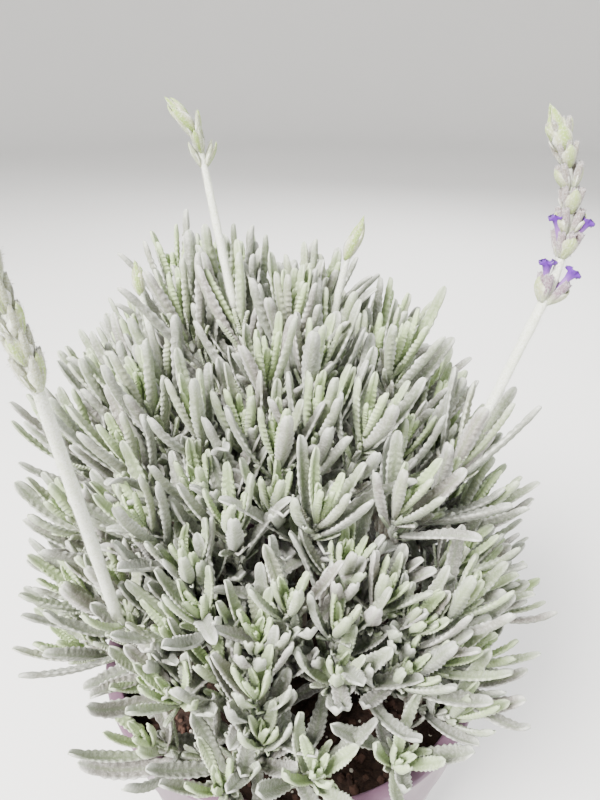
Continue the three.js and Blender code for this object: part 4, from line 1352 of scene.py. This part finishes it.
class Plant:
    """What both plant operators share: the layout, the models, the finishes and the leaves placed so far."""

    shared = None

    @classmethod
    def get(cls, scene):
        if cls.shared is None:
            finishes = [finish(scene.lavender_colours) for finish in PLANT_FINISHES]
            cls.shared = SimpleNamespace(stems=plant_layout(), models=plant_models(), finishes=finishes,
                                         crowd=Crowd(CROWD_CELL))
            for shoot in (shoot for stem in cls.shared.stems for shoot in stem.shoots):
                tip = shoot.flower.neck if shoot.flower else shoot.end + shoot.direction * 15 * MM
                cls.shared.crowd.add(shoot.id, shoot.route.at(np.linspace(0.2, 1, 24)))
                cls.shared.crowd.add(shoot.id, [lerp(shoot.end, tip, t) for t in np.linspace(0, 1, 8)])
        return cls.shared


class LAVENDER_OT_leafy_stems(bpy.types.Operator):
    """Grows the fifteen leafy stems with their shoots and felted leaves"""

    bl_idname = "lavender.leafy_stems"
    bl_label = "Leafy stems"

    def execute(self, context):
        shared = Plant.get(context.scene)
        for stem in shared.stems:
            if not stem.flower:
                growth = Growth(shared.models, random.Random(SEED * 100 + stem.index))
                grow_stem(growth, stem, shared.crowd, context.scene.lavender_plant)
                growth.finish(stem.node + "_leaves", shared.finishes[:2], "foliage", [stem.node])
        return {"FINISHED"}


# ---- the flowers ----
def spike_axis(flower):
    """The bowed line of a spike, from its neck to its tip."""
    rise = flower.tip - flower.neck
    middle = lerp(flower.neck, flower.tip, 0.5) + rightwards(unit(rise)) * flower.bow * np.linalg.norm(rise)
    t = np.linspace(0, 1, 60)[:, None]
    ends = flower.neck * (2 * t - 1) * (t - 1) + flower.tip * t * (2 * t - 1)
    return Route(ends + middle * 4 * t * (1 - t))


def whorl_place(w, flower):
    """Where a whorl sits, as a share of its spike."""
    if w == 0:
        return FIRST_WHORL
    last = 1 - (TIP_BUD if flower.grown else YOUNG_BUD)
    return lerp(flower.second, last, (w - 1) / (flower.whorls - 2))


def grow_bract(growth, root, along, out, size, age):
    """A boat-shaped bract. size holds its length, half width, splay, and how far its tip turns back in."""
    draw = growth.draw
    long, wide, splay, tuck = size
    bract = Leaf(
        along=along, out=out, root=root, length=long * draw.uniform(0.95, 1.06),
        half_width=wide * draw.uniform(0.94, 1.06), splay=splay * draw.uniform(0.9, 1.1), arch=-tuck,
        age=age, tone=draw.uniform(-1, 1), twist=draw.gauss(0, 0.08), sway=draw.gauss(0, 0.2) * MM, fold=0.1,
        cup=BRACT_CUP, thick=BRACT_THICK)
    bract.shape()
    grow_leaf(growth, growth.models.bract, bract, BRACT)


def grow_calyx(growth, at, along, out, size, long, open_by, age):
    """A calyx beside the spike's axis. A young one is drawn closed at its mouth."""
    draw, model = growth.draw, growth.models.calyx
    way = unit(along + out * draw.uniform(0.3, 0.46) * open_by)
    side = unit(np.cross(way, out))
    front = np.cross(side, way)
    long = long * draw.uniform(0.92, 1.08)
    wide = CALYX_RADIUS * size
    x, y, v = model.co.T
    closed = 1 - 0.85 * (1 - min(1, 1.3 * age)) * np.clip((v - 0.55) / 0.45, 0, 1) ** 1.5
    x, y = x * closed, y * closed
    root = at + out * 1.1 * MM * size + along * 0.5 * MM
    points = root + side * (x * wide)[:, None] + front * (y * wide)[:, None] + way * (v * long)[:, None]
    growth.add(model, points, CALYX, x, v, age, draw.uniform(-1, 1))
    radii = ((0, 0.4, 1), (0.6 * wide, wide, 0.8 * wide))
    grow_wool(growth, Route((root, root + way * long)), radii, CALYX_HAIRS, 0.8 * MM, CALYX, age, (0.1, 0.98))


def grow_floret(growth, at, along, out):
    """An open floret that looks up and out of its calyx."""
    model = growth.models.floret
    facing = unit(out * 0.35 + along * 0.9)
    across = unit(np.cross(along, out))
    upright = np.cross(across, facing)
    start = at + out * 1.4 * MM + along * 2.4 * MM
    x, y, v = model.co.T
    points = start + across * (x * FLORET_RADIUS)[:, None] + upright * (y * FLORET_RADIUS)[:, None]
    points = points + facing * (v * FLORET_LENGTH)[:, None]
    growth.add(model, points, PETAL, np.hypot(x, y), v, 0)


def grow_stalk(growth, flower, axis):
    """The bare woolly stem, up through its spike."""
    start = flower.start - flower.leaning * 6 * MM
    line = Route([start, lerp(flower.start, flower.neck, 0.5), *axis.points[4:-6]])
    radius = flower.radius
    radii = ((0, 0.5, 0.62, 1), (radius, radius * 0.95, radius * 0.8, radius * 0.5))
    grow_tube(growth, line, radii, WOOL, ((0, 1), (0.0, 0.0)))
    grow_wool(growth, line, radii, int(line.length / MM * STALK_HAIRS), 0.75 * MM, WOOL, 0.0)


def grow_whorl(growth, flower, t, at, along, faces, plant):
    """Two bracts, and the calyces over them. faces are the ways of the first bract and a quarter turn on."""
    size = flower.size * (1 - TAPER * t)
    long = flower.size * flower.long * (1 - 0.2 * t)
    ripe = flower.ripe * (1 - 0.6 * t)
    wide, splay, tuck = GROWN_BRACT if flower.grown else YOUNG_BRACT
    open_by = lerp(YOUNG_OPENNESS, 1, flower.ripe) if flower.grown else 1
    shape = (plant.bract_length * long, wide * size, splay * size * open_by, tuck * size)
    foot = at - along * 1.4 * MM * size
    for side in (-1, 1):
        out = faces[0] * side
        grow_bract(growth, foot + out * 0.7 * MM * size, along, out, shape, ripe * 0.6)
        for turn in GROWN_CALYX_TURNS if flower.grown else YOUNG_CALYX_TURNS:
            way = out * math.cos(turn) + faces[1] * side * math.sin(turn)
            grow_calyx(growth, foot, along, way, size, plant.calyx_length * long, open_by, ripe)


def grow_spike(growth, flower, plant):
    """The stalk, the whorls of bracts and calyces, the open florets and the end bud."""
    axis = spike_axis(flower)
    grow_stalk(growth, flower, axis)
    east = np.array((1.0, 0, 0))
    for w in range(flower.whorls):
        t = whorl_place(w, flower)
        at, along = axis.at(t), axis.tangent(t)
        east = square_to(along, east)
        north = np.cross(along, east)
        grow_whorl(growth, flower, t, at, along, (north, -east) if w % 2 else (east, north), plant)
        if w < flower.open:
            for side in (-1, 1):
                grow_floret(growth, at, along, rightwards(along) * side)
    grow_end_bud(growth, flower, axis, east)


def grow_end_bud(growth, flower, axis, east):
    """Bracts that still stand closed over each other at a spike's tip."""
    start, wide, parting = flower.bud
    for k, (foot, tip, size, apart) in enumerate(BUD_PAIRS):
        share = lerp(start, 1, foot)
        at, along = axis.at(share), unit(axis.at(1) - axis.at(share))
        first = square_to(along, east)
        first = first if k % 2 else np.cross(along, first)
        long = axis.length * (lerp(start, 1, tip) - share)
        splay = (wide * MM * size - BUD_ROOT) / BUD_BULGE
        shape = (long, wide * MM * size, splay, splay + BUD_ROOT - apart * parting * MM)
        for side in (-1, 1):
            grow_bract(growth, at + first * side * BUD_ROOT, along, first * side, shape, 0.0)


class LAVENDER_OT_flowering_stems(bpy.types.Operator):
    """Grows the five flowering stems: leafy foot, woolly stalk, and spike or bud"""

    bl_idname = "lavender.flowering_stems"
    bl_label = "Flowering stems"

    def execute(self, context):
        shared = Plant.get(context.scene)
        plant = context.scene.lavender_plant
        for stem in shared.stems:
            if stem.flower:
                growth = Growth(shared.models, random.Random(SEED * 100 + stem.index))
                grow_stem(growth, stem, shared.crowd, plant)
                grow_spike(growth, stem.flower, plant)
                growth.finish(stem.node + "_bloom", shared.finishes, "flowering_stem", [stem.node])
        return {"FINISHED"}


# ---- the stage, the panel and the run ----
def studio_floor():
    """A disc whose edge is extruded up in a smooth curve into a wall."""
    bpy.ops.object.select_all(action="DESELECT")
    bpy.ops.mesh.primitive_circle_add(vertices=96, radius=FLOOR_RADIUS, fill_type="NGON")
    floor = bpy.context.object
    floor.name = "floor"
    curve_radius = WALL_RADIUS - FLOOR_RADIUS
    turns = [math.pi / 2 * k / WALL_STEPS for k in range(1, WALL_STEPS + 1)]
    rings = [(FLOOR_RADIUS + curve_radius * math.sin(t), curve_radius * (1 - math.cos(t))) for t in turns]
    bpy.ops.object.mode_set(mode="EDIT")
    bpy.ops.mesh.select_mode(type="EDGE")
    bpy.ops.mesh.select_all(action="DESELECT")
    bpy.ops.mesh.select_non_manifold()
    radius, height = FLOOR_RADIUS, 0.0
    for wider, higher in (*rings, (WALL_RADIUS, WALL_TOP)):
        bpy.ops.mesh.extrude_edges_move(TRANSFORM_OT_translate={"value": (0, 0, higher - height)})
        resize(wider / radius, wider / radius)
        radius, height = wider, higher
    bpy.ops.object.mode_set(mode="OBJECT")
    bpy.ops.object.shade_smooth()
    return floor


class LAVENDER_OT_stage(bpy.types.Operator):
    """Sets a pale floor, soft studio light and the camera"""

    bl_idname = "lavender.stage"
    bl_label = "Stage"

    def execute(self, context):
        floor = studio_floor()
        floor.data.materials.append(floor_finish(context.scene.lavender_colours))
        for name, place, target, size, power, tint in LAMPS:
            aim = (Vector(target) - Vector(place)).to_track_quat("-Z", "Y").to_euler()
            bpy.ops.object.light_add(type="AREA", location=place, rotation=aim)
            lamp = context.object
            lamp.name = name + "_lamp"
            lamp.data.size, lamp.data.energy, lamp.data.color = size, power, tint
        world = bpy.data.worlds.new("studio")
        world.use_nodes = True
        background = world.node_tree.nodes["Background"]
        background.inputs["Color"].default_value = (*WORLD, 1)
        background.inputs["Strength"].default_value = WORLD_STRENGTH
        context.scene.world = world
        bpy.ops.object.camera_add(location=CAMERA_PLACE, rotation=(math.pi / 2 - CAMERA_PITCH, 0, 0))
        camera = context.object
        camera.data.sensor_width = SENSOR
        camera.data.lens = FOCAL_PIXELS / IMAGE_HEIGHT * SENSOR
        camera.data.clip_start = 0.01
        context.scene.camera = camera
        return {"FINISHED"}


class LAVENDER_PT_panel(bpy.types.Panel):
    bl_label = "Potted lavender"
    bl_idname = "LAVENDER_PT_panel"
    bl_space_type = "VIEW_3D"
    bl_region_type = "UI"
    bl_category = "Lavender"

    def draw(self, context):
        for operator in OPERATORS:
            self.layout.operator(operator.bl_idname)
        for name, group in GROUPS:
            box = self.layout.box()
            for key in group.__annotations__:
                box.prop(getattr(context.scene, name), key)


GROUPS = (("lavender_pot", LavenderPot), ("lavender_plant", LavenderPlant),
          ("lavender_colours", LavenderColours))
OPERATORS = (LAVENDER_OT_pot, LAVENDER_OT_soil, LAVENDER_OT_leafy_stems, LAVENDER_OT_flowering_stems,
             LAVENDER_OT_stage)


def register():
    for name, group in GROUPS:
        bpy.utils.register_class(group)
        setattr(bpy.types.Scene, name, PointerProperty(type=group))
    for cls in (*OPERATORS, LAVENDER_PT_panel):
        bpy.utils.register_class(cls)


def unregister():
    for cls in reversed((*OPERATORS, LAVENDER_PT_panel)):
        bpy.utils.unregister_class(cls)
    for name, group in reversed(GROUPS):
        delattr(bpy.types.Scene, name)
        bpy.utils.unregister_class(group)


def main():
    register()
    bpy.ops.lavender.pot()
    bpy.ops.lavender.soil()
    bpy.ops.lavender.leafy_stems()
    bpy.ops.lavender.flowering_stems()
    bpy.ops.lavender.stage()
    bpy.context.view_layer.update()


if __name__ == "__main__":
    main()
